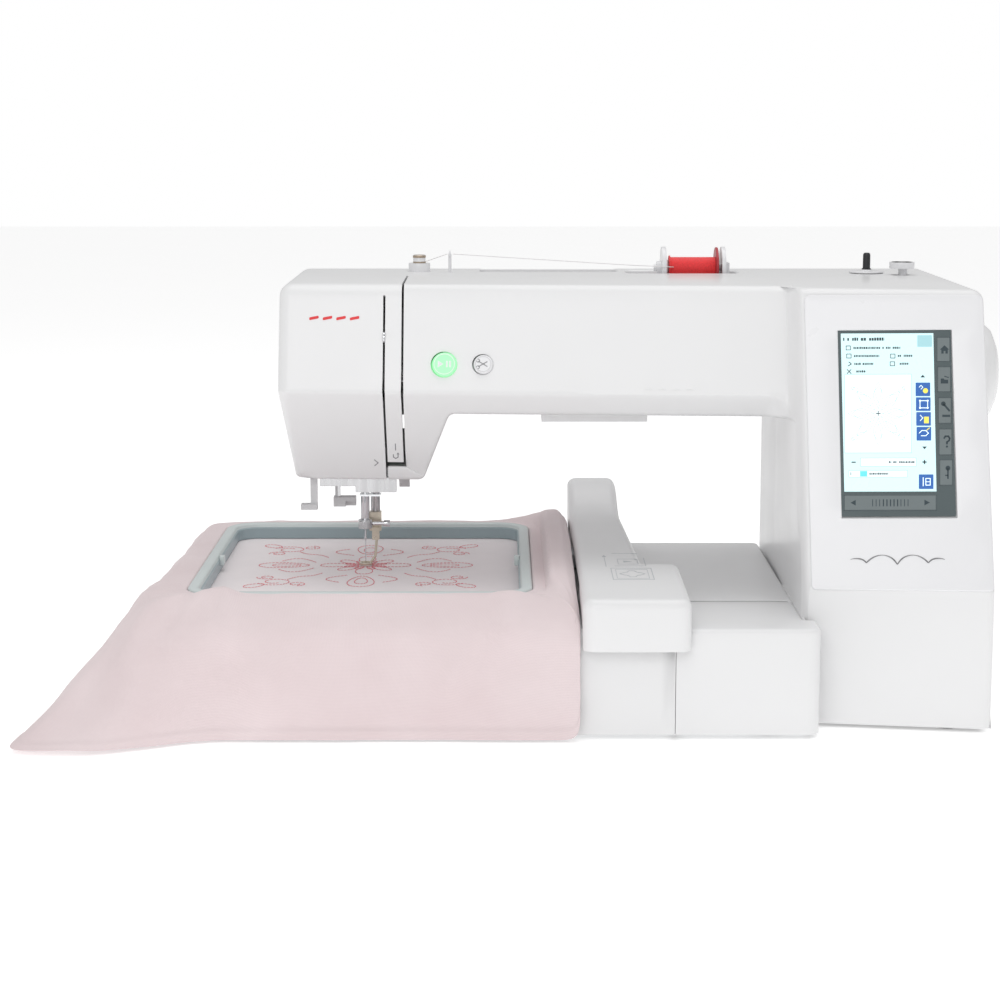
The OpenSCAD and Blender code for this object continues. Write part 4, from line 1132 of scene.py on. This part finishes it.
def hloop(d, z, n=12):
    return [(x + HC[0], y + HC[1], z) for x, y in rrect(-HX - d, -HY - d, HX + d, HY + d, 16 + d, n)]


def ring_mesh(name, prof, mats, body, split, **kw):
    loops = [hloop(d, z) for d, z in prof]
    n = len(loops[0])
    vs = [p for l in loops for p in l]
    fs, mi = [], []
    m = len(prof)
    for k in range(m):
        for i in range(n):
            j = (i + 1) % n
            fs.append((k * n + i, k * n + j, ((k + 1) % m) * n + j, ((k + 1) % m) * n + i))
            mi.append(split(k))
    o = obj_from(name, vs, fs, mats, body, 38, **kw)
    o.data.polygons.foreach_set("material_index", mi)
    bm = bmesh.new()
    bm.from_mesh(o.data)
    bmesh.ops.recalc_face_normals(bm, faces=bm.faces)
    bm.to_mesh(o.data)
    bm.free()
    return o


# the first three bands of the profile, the ring's inner wall, take the darker hoop colour: painted shade
ring_mesh("hoop_inner_ring", [(.5, 78.15), (0, 78.6), (0, 86.4), (.9, 87.2), (1.2, 88.8), (1.7, 89.6), (2.6, 90), (7.4, 90), (8.3, 89.7), (8.85, 88.9), (8.85, 78.15)],
          [HOOPT, HOOP_WALL_SHADE], "hoop", lambda k: 1 if k < 3 else 0, replaces=("inner_hoop",), slot="hoop_plastic")
for s in (-1, 1):
    x0 = HC[0] + s * (HX - 1.4)
    loft("hoop_mark_tab_" + ("l" if s < 0 else "r"), [[(x0 + s * a, HC[1] + yy, zz) for yy, zz in rpoly([(-4.4 + e, 82.4 + e), (4.4 - e, 82.4 + e), (3.2 - e, 89.4 - e), (-3.2 + e, 89.4 - e)], .8, 4)] for a, e in ((-1.6, .4), (-1.2, 0), (1.9, 0))], HOOPT, "hoop")

# ------------------------------------------------------------------ cloth
KT = [
    [0.0, [4, -188, 90], [4, -207, 77.5], [4, -209, 40], [4, -210, 1.5]],
    [0.8, [-90, -188, 90], [-94, -207, 77], [-97, -209, 40], [-99, -211, 1.5]],
    [0.9, [-124, -187, 86], [-136, -208, 62], [-148, -224, 28], [-172, -243, 1.5]],
    [1.0, [-142, -180, 82], [-166, -200, 52], [-192, -221, 24], [-221, -243, 2]],
    [1.1, [-148, -158, 81], [-168, -166, 50], [-184, -174, 24], [-204, -186, 2]],
    [1.2, [-149, -126, 81], [-164, -130, 50], [-174, -133, 24], [-184, -136, 2]],
    [1.6, [-140, -70, 84], [-153, -72, 50], [-161, -75, 22], [-168, -78, 1.5]],
    [2.0, [-137, -20, 84], [-150, -22, 50], [-158, -25, 20], [-163, -28, 1.5]],
    [2.8, [-136, 100, 83], [-149, 102, 48], [-157, 104, 22], [-162, 106, 2]],
    [3.0, [-132, 134, 82], [-146, 148, 48], [-153, 155, 24], [-160, 160, 3]],
    [3.2, [-100, 139, 82], [-104, 147, 48], [-106, 152, 24], [-108, 156, 2]],
    [4.0, [4, 139, 82], [4, 146, 50], [4, 150, 25], [4, 152, 2]],
    [4.8, [96, 139, 84], [100, 146, 54], [102, 150, 28], [104, 152, 2]],
    [4.9, [117, 138, 89], [121, 146, 62], [124, 151, 32], [126, 153, 3]],
    [5.0, [132, 131, 96], [142, 140, 88], [148, 147, 60], [150, 150, 34]],
    [5.1, [136, 118, 100], [146, 122, 100], [151.5, 128, 90], [152.2, 132, 80]],
    [5.2, [136, 100, 102], [146, 101, 103], [151.8, 101, 95], [152.2, 101, 92.8]],
    [6.0, [136, -20, 103], [146, -20, 104], [152, -20, 98], [152.2, -20, 93.8]],
    [6.8, [137, -126, 99], [146, -128, 98], [151.8, -128, 92], [152.2, -128, 86]],
    [6.9, [146, -156, 92], [151, -174, 85], [152.6, -184, 81], [152.8, -192, 78.4]],
    [6.96, [147, -174, 88], [152, -202, 79], [153.2, -207.5, 76.8], [153.4, -208, 71]],
    [7.0, [144, -182, 87], [152.6, -207, 77], [153.6, -209, 40], [153.6, -210, 2]],
    [7.1, [126, -187, 88], [134, -207, 77], [137, -209, 40], [139, -210, 1.5]],
    [7.2, [100, -188, 90], [104, -207, 77.5], [106, -209, 40], [108, -210, 1.5]],
    [8.0, [4, -188, 90], [4, -207, 77.5], [4, -209, 40], [4, -210, 1.5]]]


def rq(t, a, b, r):
    if t < .8:
        return (-(a - r) * t / .8, -b)
    if t < 1.2:
        w = math.radians(270 - 90 * (t - .8) / .4)
        return (-(a - r) + r * math.cos(w), -(b - r) + r * math.sin(w))
    return (-a, -(b - r) * (2 - t) / .8)


def ring_pt(t, d):
    a, b, r = HX + 9 + d, HY + 9 + d, 25 + d
    if t <= 2:
        p = rq(t, a, b, r)
    elif t <= 4:
        p = rq(4 - t, a, b, r)
        p = (p[0], -p[1])
    elif t <= 6:
        p = rq(t - 4, a, b, r)
        p = (-p[0], -p[1])
    else:
        p = rq(8 - t, a, b, r)
        p = (-p[0], p[1])
    return (HC[0] + p[0], HC[1] + p[1])


ts, kr = [], []
for i in range(len(KT) - 1):
    t0, t1 = KT[i][0], KT[i + 1][0]
    A = np.array(KT[i][1:], float)
    B = np.array(KT[i + 1][1:], float)
    m = max(3, int(math.ceil(np.linalg.norm(A - B, axis=1).max() / 4.5)))
    for k in range(m):
        f = k / m
        ts.append(t0 + (t1 - t0) * f)
        kr.append(A * (1 - f) + B * f)
kr = np.array(kr)
ts = np.array(ts)
for _ in range(5):
    kr = (np.roll(kr, 1, 0) + 2 * kr + np.roll(kr, -1, 0)) / 4
NT = len(ts)
rows = []
seam = np.array([ring_pt(t, 9.2) for t in ts])
arcs = np.concatenate([[0], np.cumsum(np.linalg.norm(kr[1:, 3] - kr[:-1, 3], axis=1))])
full = []
for j in range(NT):
    t = ts[j]
    r2p = np.array([*seam[j], 88.6])
    k1 = kr[j, 0]
    front = 1. if (t < .95 or t > 7.02) else 0.
    lift = 5.0 * front + (2.5 if not front else 0)
    mid = (r2p * .45 + k1 * .55) + np.array([0, 0, lift])
    ctrl = [r2p, mid, k1, kr[j, 1], kr[j, 2], kr[j, 3]]
    pl = []
    for a, b in zip(ctrl[:-1], ctrl[1:]):
        m = 10
        for k in range(m):
            pl.append(a + (b - a) * k / m)
    pl.append(ctrl[-1])
    pl = np.array(pl)
    for _ in range(7):
        q = pl.copy()
        q[1:-1] = (pl[:-2] + 2 * pl[1:-1] + pl[2:]) / 4
        pl = q
    L = np.concatenate([[0], np.cumsum(np.linalg.norm(pl[1:] - pl[:-1], axis=1))])
    T = L[-1]
    hem = min(7.2, T * .25)
    pos = list(np.linspace(0, T - hem, 34)) + [T - hem * .9, T - hem * .6, T - hem * .3, T]
    full.append(np.stack([np.interp(pos, L, pl[:, c]) for c in range(3)], 1))
full = np.array(full)            # NT, rows, 3
for _ in range(2):
    full[:, 1:] = (np.roll(full, 1, 0) + 2 * full + np.roll(full, -1, 0))[:, 1:] / 4
NR = full.shape[1]
nr = np.zeros_like(full)
dt = np.roll(full, -1, 0) - np.roll(full, 1, 0)
dv = np.zeros_like(full)
dv[:, 1:-1] = full[:, 2:] - full[:, :-2]
dv[:, 0] = full[:, 1] - full[:, 0]
dv[:, -1] = full[:, -1] - full[:, -2]
nr = np.cross(dv, dt)
nr /= np.maximum(np.linalg.norm(nr, axis=2), 1e-6)[:, :, None]
if nr[2, 25, 1] > 0:
    nr = -nr
for j in range(NT):
    t = ts[j]
    corner = math.exp(-((t - 1.0) / .22) ** 2)
    right = math.exp(-((t - 7.0) / .12) ** 2)
    side = 1. if 1.2 < t < 4.9 else 0.
    onarm = 1. if 5.05 < t < 6.97 else 0.
    s = arcs[j]
    for r in range(1, NR):
        v = r / (NR - 1)
        w = min(1, v * 1.6)
        n1 = noise.noise(Vector((s / 62, v * 1.7, 3.1)))
        n2 = noise.noise(Vector((s / 23, v * 3.2, 9.7)))
        n3 = noise.noise(Vector((s / 34 + v * 2.2, v * 2.0, 17.3)))
        amp = w * (1.1 + 4.2 * corner + 2.6 * side + .9 * right) * (1 - .75 * onarm)
        d = amp * (n1 + .75) + .45 * amp * (n2 + .3)
        d += (2.2 * corner + .9) * max(0, n3) * math.sin(math.pi * min(1, v * 1.15)) * (1 - onarm)
        if v < .34:
            d += .9 * n2 * (1 - onarm)
        for (tc, tk, wd, am, v0) in ((.80, -.42, .085, 6.5, .20), (.62, -.20, .11, 2.6, .55), (.96, -.10, .05, 4.2, .42), (7.13, .22, .055, 4.6, .30),
                                     (7.24, .40, .07, 2.6, .52), (.30, .25, .12, 1.6, .6), (7.62, -.2, .10, 1.5, .55), (1.9, .3, .12, 2.5, .5), (3.6, .2, .2, 2.0, .5)):
            d += am * math.exp(-((t - tc - tk * v) / wd) ** 2) * math.exp(-((v - v0) / .27) ** 2)
        if r >= NR - 4:
            d += .45
        full[j, r] += nr[j, r] * max(d, -.3)
full[:, :, 2] = np.maximum(full[:, :, 2], 1.0)
# front drape stays clear of the bed, the right edge stays clear of the arm
fm = (full[:, :, 2] < 76) & (full[:, :, 0] > -74) & (full[:, :, 1] > -206.2) & (full[:, :, 1] < -150)
full[:, :, 1] = np.where(fm, -206.2, full[:, :, 1])
tm = (full[:, :, 0] > -74) & (full[:, :, 1] > -206)
full[:, :, 2] = np.where(tm & (full[:, :, 1] < 112) & (full[:, :, 2] < 76.2) & (full[:, :, 2] > 60), 76.2, full[:, :, 2])
full[:, :, 0] = np.minimum(full[:, :, 0], 153.4)
srow = [1 - k / 16 for k in range(17)][::-1]
grid = []
for s_ in srow[1:]:
    row = []
    for j in range(NT):
        p = ring_pt(ts[j], .4)
        x, y = HC[0] + (p[0] - HC[0]) * s_, HC[1] + (p[1] - HC[1]) * s_
        row.append((x, y, 77.7 + (.10 * noise.noise(Vector((x / 9, y / 9, 1.))) if s_ < .99 else 0)))
    grid.append(row)
for d, z in ((.4, 79.5), (.4, 87.0), (.8, 88.5), (2.2, 88.7), (5.5, 88.6)):
    grid.append([(*ring_pt(t, d), z) for t in ts])
for r in range(NR):
    grid.append([tuple(full[j, r]) for j in range(NT)])
G = np.array(grid)
NG = len(G)
vs = [tuple(p) for row in G for p in row] + [(HC[0], HC[1], 77.7)]
# the flat cloth inside the hoop (first 16 rows and the centre fan) takes the paler cotton copy, material 1: painted
# light
fs, mi = [], []
for r in range(NG - 1):
    for j in range(NT):
        k = (j + 1) % NT
        fs.append((r * NT + j, r * NT + k, (r + 1) * NT + k, (r + 1) * NT + j))
        mi.append(1 if r < 16 else 0)
c0 = len(vs) - 1
for j in range(NT):
    fs.append((c0, (j + 1) % NT, j))
    mi.append(1)
cloth = obj_from("hooped_cloth", vs, fs, [COTTON, COTTON_LIT_FLAT], None, 70)
me = cloth.data
me.polygons.foreach_set("material_index", mi)
uv = me.uv_layers.new(name="UVMap")
co = np.array([(p[0], p[1], p[2]) for p in vs])
dx, dy = co[:, 0] - HC[0], co[:, 1] - HC[1]
dn = np.maximum(np.hypot(dx, dy), 1)
U = (co[:, 0] + dx / dn * (78 - co[:, 2])) * .001
W = (co[:, 1] + dy / dn * (78 - co[:, 2])) * .001
for l in me.loops:
    uv.data[l.index].uv = (U[l.vertex_index], W[l.vertex_index])
bm = bmesh.new()
bm.from_mesh(me)
bmesh.ops.recalc_face_normals(bm, faces=bm.faces)
bm.to_mesh(me)
bm.free()
md = cloth.modifiers.new("t", "SOLIDIFY")
md.thickness = .0006
md.offset = 0
bpy.context.view_layer.update()
bake(cloth, 70)
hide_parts("cloth")
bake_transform(cloth)

# running stitches: an own symmetrical rosette with corner sprays
ZS = 78.12
paths = []


def mirror4(pts):
    for sx in (1, -1):
        for sy_ in (1, -1):
            paths.append([(sx * x, sy_ * y) for x, y in pts])


def petal(a, r0, r1, w, n=26):
    ca, sa = math.cos(a), math.sin(a)
    out = []
    for i in range(n + 1):
        t = i / n
        ph = 2 * math.pi * t
        r = r0 + (r1 - r0) * (.5 - .5 * math.cos(ph))
        q = w * math.sin(ph) * (1 - .25 * math.cos(ph))
        out.append((r * ca - q * sa, r * sa + q * ca))
    return out


for k in range(8):
    a = k * math.pi / 4
    paths.append(petal(a, 7, 34 if k % 2 == 0 else 27, 6.2 if k % 2 == 0 else 4.6))
    paths.append(petal(a + math.pi / 8, 5, 17, 2.6, 16))
for ax in (0, math.pi / 2, math.pi, 1.5 * math.pi):
    paths.append(petal(ax, 42, 80, 9.5, 36))
    paths.append(petal(ax, 48, 70, 4.6, 24))
    for s in (-1, 1):
        ca, sa = math.cos(ax), math.sin(ax)
        pts = []
        for i in range(22):
            t = i / 21
            x = 38 + 26 * t
            y = s * (11 + 15 * math.sin(math.pi * t * .9))
            pts.append((x * ca - y * sa, x * sa + y * ca))
        paths.append(pts)
for i0_, (cx_, cy_, rr, a0_) in enumerate(((62, 62, 13, .4), (46, 70, 7, 1.7), (70, 46, 7, -.2))):
    pts = []
    for i in range(34):
        t = i / 33
        a = a0_ + t * 2.6 * math.pi
        r = rr * (1 - .62 * t)
        pts.append((cx_ + r * math.cos(a), cy_ + r * math.sin(a)))
    mirror4(pts)
mirror4([(30 + 24 * t, 30 + 24 * t + 3 * math.sin(2 * math.pi * t)) for t in np.linspace(0, 1, 14)])
mirror4(petal(math.pi / 4, 98, 116, 5, 20))
sv, sf = [], []
for pth in paths:
    A = np.array(pth, float)
    L = np.concatenate([[0], np.cumsum(np.hypot(*(A[1:] - A[:-1]).T))])
    m = max(2, int(L[-1] / 2.7))
    q = np.linspace(0, L[-1], m + 1)
    X = np.interp(q, L, A[:, 0])
    Y = np.interp(q, L, A[:, 1])
    for i in range(m):
        a = Vector((X[i], Y[i]))
        b = Vector((X[i + 1], Y[i + 1]))
        d = b - a
        if d.length < .4:
            continue
        d.normalize()
        a = a + d * .22
        b = b - d * .22
        n = Vector((-d.y, d.x))
        base = len(sv)
        for (f, w, h) in ((0, .10, -.15), (.18, .30, .12), (.82, .30, .12), (1, .10, -.15)):
            c = a + (b - a) * f
            for (ox, oz) in ((1, 0), (.45, .75), (-.45, .75), (-1, 0)):
                sv.append((c.x + n.x * w * ox, c.y + n.y * w * ox, ZS + h + oz * w * .8))
        for k in range(3):
            for e in range(4):
                e2 = (e + 1) % 4
                sf.append((base + k * 4 + e, base + k * 4 + e2, base + (k + 1) * 4 + e2, base + (k + 1) * 4 + e))
        sf.append((base + 3, base + 2, base + 1, base))
        sf.append((base + 12, base + 13, base + 14, base + 15))
st = obj_from("embroidery_stitches", sv, sf, STITCH, "hoop", 60)
bm = bmesh.new()
bm.from_mesh(st.data)
bmesh.ops.recalc_face_normals(bm, faces=bm.faces)
bm.to_mesh(st.data)
bm.free()

# ------------------------------------------------------------------ spool, winder, guides
along_x = lambda x, y, a: (a, 66 + x, 296 + y)
pr = [(0, 228.7), (9.0, 228.7), (9.3, 228.9), (9.3, 229.9)]
a = 230.0
while a < 263.9:
    pr += [(7.95, a), (8.18, a + .28), (8.18, a + .46)]
    a += .74
pr += [(7.9, 264), (0, 264)]
lathe("wound_thread", pr, along_x, REDTH, "spool", 48, 60, replaces=("thread_spool",), slot="red_thread")
lathe("spool_flange", [(0, 264), (15.1, 264), (15.5, 264.3), (15.55, 265), (15.5, 265.7), (15.1, 266), (0, 266)], along_x, REDFL, "spool", 56)
up = lambda cx, cy: (lambda x, y, a: (cx + x, cy + y, a))
lathe("winder_disc", [(0, 293.4), (12.6, 293.4), (13, 293.7), (13, 294.5), (12.6, 294.8), (4.4, 294.8), (4.0, 295.6), (3.2, 296), (0, 296)], up(377, 50), WHITE2, "winder", 56, replaces=("winder_spindle",), slot="dark_plastic")
lathe("winder_pin", [(0, 262), (2.8, 262), (2.8, 293.2), (3.6, 293.3), (3.6, 296.4), (2.8, 296.8), (2.75, 306.6), (2.5, 307.6), (1.7, 308.3), (0, 308.4)], up(377, 50), DARK, "winder", 40)
lathe("guide_cap", [(0, 299.2), (4.4, 299.2), (4.9, 299.6), (4.9, 300.4), (4.3, 300.8), (4.3, 303.2), (5.0, 303.6), (5.0, 304.9), (4.4, 305.5), (0, 305.6)], up(39, 70), BRASSY, "casing", 40)
lathe("stopper_knob", [(0, 297.9), (8.6, 297.9), (9.3, 298.6), (9.3, 301.2), (8.9, 302.2), (7.8, 302.6), (3, 302.6), (2, 302.2), (0, 302.2)], up(400.2, 30), WHITE2, "stopper", 48)

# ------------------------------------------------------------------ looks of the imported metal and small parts
LOOK = {"base_plate": ALU, "rubber_feet": RUBBER, "main_casting": ALU, "bed_frame": ALU, "lcd_module": DARK, "control_board": BOARD, "needle_plate": STEEL,
        "case_screws": STEEL, "bobbin_holder": DARK, "lamp_lens": LED, "main_motor": DARK, "thread_guides": WHITE2, "tension_unit": STEEL, "drive_belts": RUBBER,
        "x_rails": CHROME, "side_sockets": DARK, "threader_plate": STEEL, "upper_thread": PALETH, "handwheel": WHITE, "upper_shaft": CHROME, "needle_crank": STEEL,
        "lower_shaft": CHROME, "motor_pulley": STEEL, "rotary_hook": STEEL, "bobbin": MILKY, "needle_bar": CHROME, "needle_clamp": STEEL, "clamp_screw": CHROME,
        "needle": CHROME, "presser_bar": STEEL, "embroidery_foot": BEIGE, "presser_lifter": LGREY, "take_up_lever": CHROME, "needle_threader": LGREY,
        "winder_arm": GREYP, "winder_stopper": WHITE2, "spool_pin": WHITE2, "spool_cap": WHITE2, "arm_base": GREYP, "y_carriage": GREYP, "outer_hoop": HOOPT,
        "hoop_lock": WHITE2, "bobbin_cover": CLEAR, "power_switch": DARK, "carrying_handle": WHITE}
BEV = {"handwheel": .8, "carrying_handle": .9, "outer_hoop": .7, "y_carriage": .7, "presser_lifter": .5, "needle_threader": .5, "embroidery_foot": .25, "threader_plate": .35,
       "spool_pin": .5, "spool_cap": .45, "thread_guides": .5, "needle_plate": .4, "hoop_lock": .6, "lamp_lens": .4, "arm_base": .4, "needle_clamp": .35, "clamp_screw": .25,
       "presser_bar": .3, "needle_bar": .25, "winder_stopper": .4, "winder_arm": .4, "power_switch": .5, "side_sockets": .4, "rubber_feet": .6, "bobbin_cover": .3, "case_screws": .4}
for nm, m in LOOK.items():
    o = frame["nodes"].get(nm)
    if o is None:
        continue
    for ob in ([o] if o.type == "MESH" else [c for c in o.children_recursive if c.type == "MESH"]):
        ob.data.materials.clear()
        ob.data.materials.append(m)
        if nm in BEV:
            w = ob.modifiers.new("weld", "WELD")
            w.merge_threshold = 1e-6
            b = ob.modifiers.new("edge", "BEVEL")
            b.width = BEV[nm] * .001
            b.segments = 2
            b.limit_method = "ANGLE"
            b.angle_limit = math.radians(38)
            b.harden_normals = False

# keep the column's inner wall clear of the travelling arm, and the skirt off the table
for v in front_shell.data.vertices:
    if v.co.z < .0004:
        v.co.z = .0004
    if 295 < v.co.x * 1000 + OX < 304.7 and v.co.z < .125:
        v.co.x = (304.7 - OX) * .001
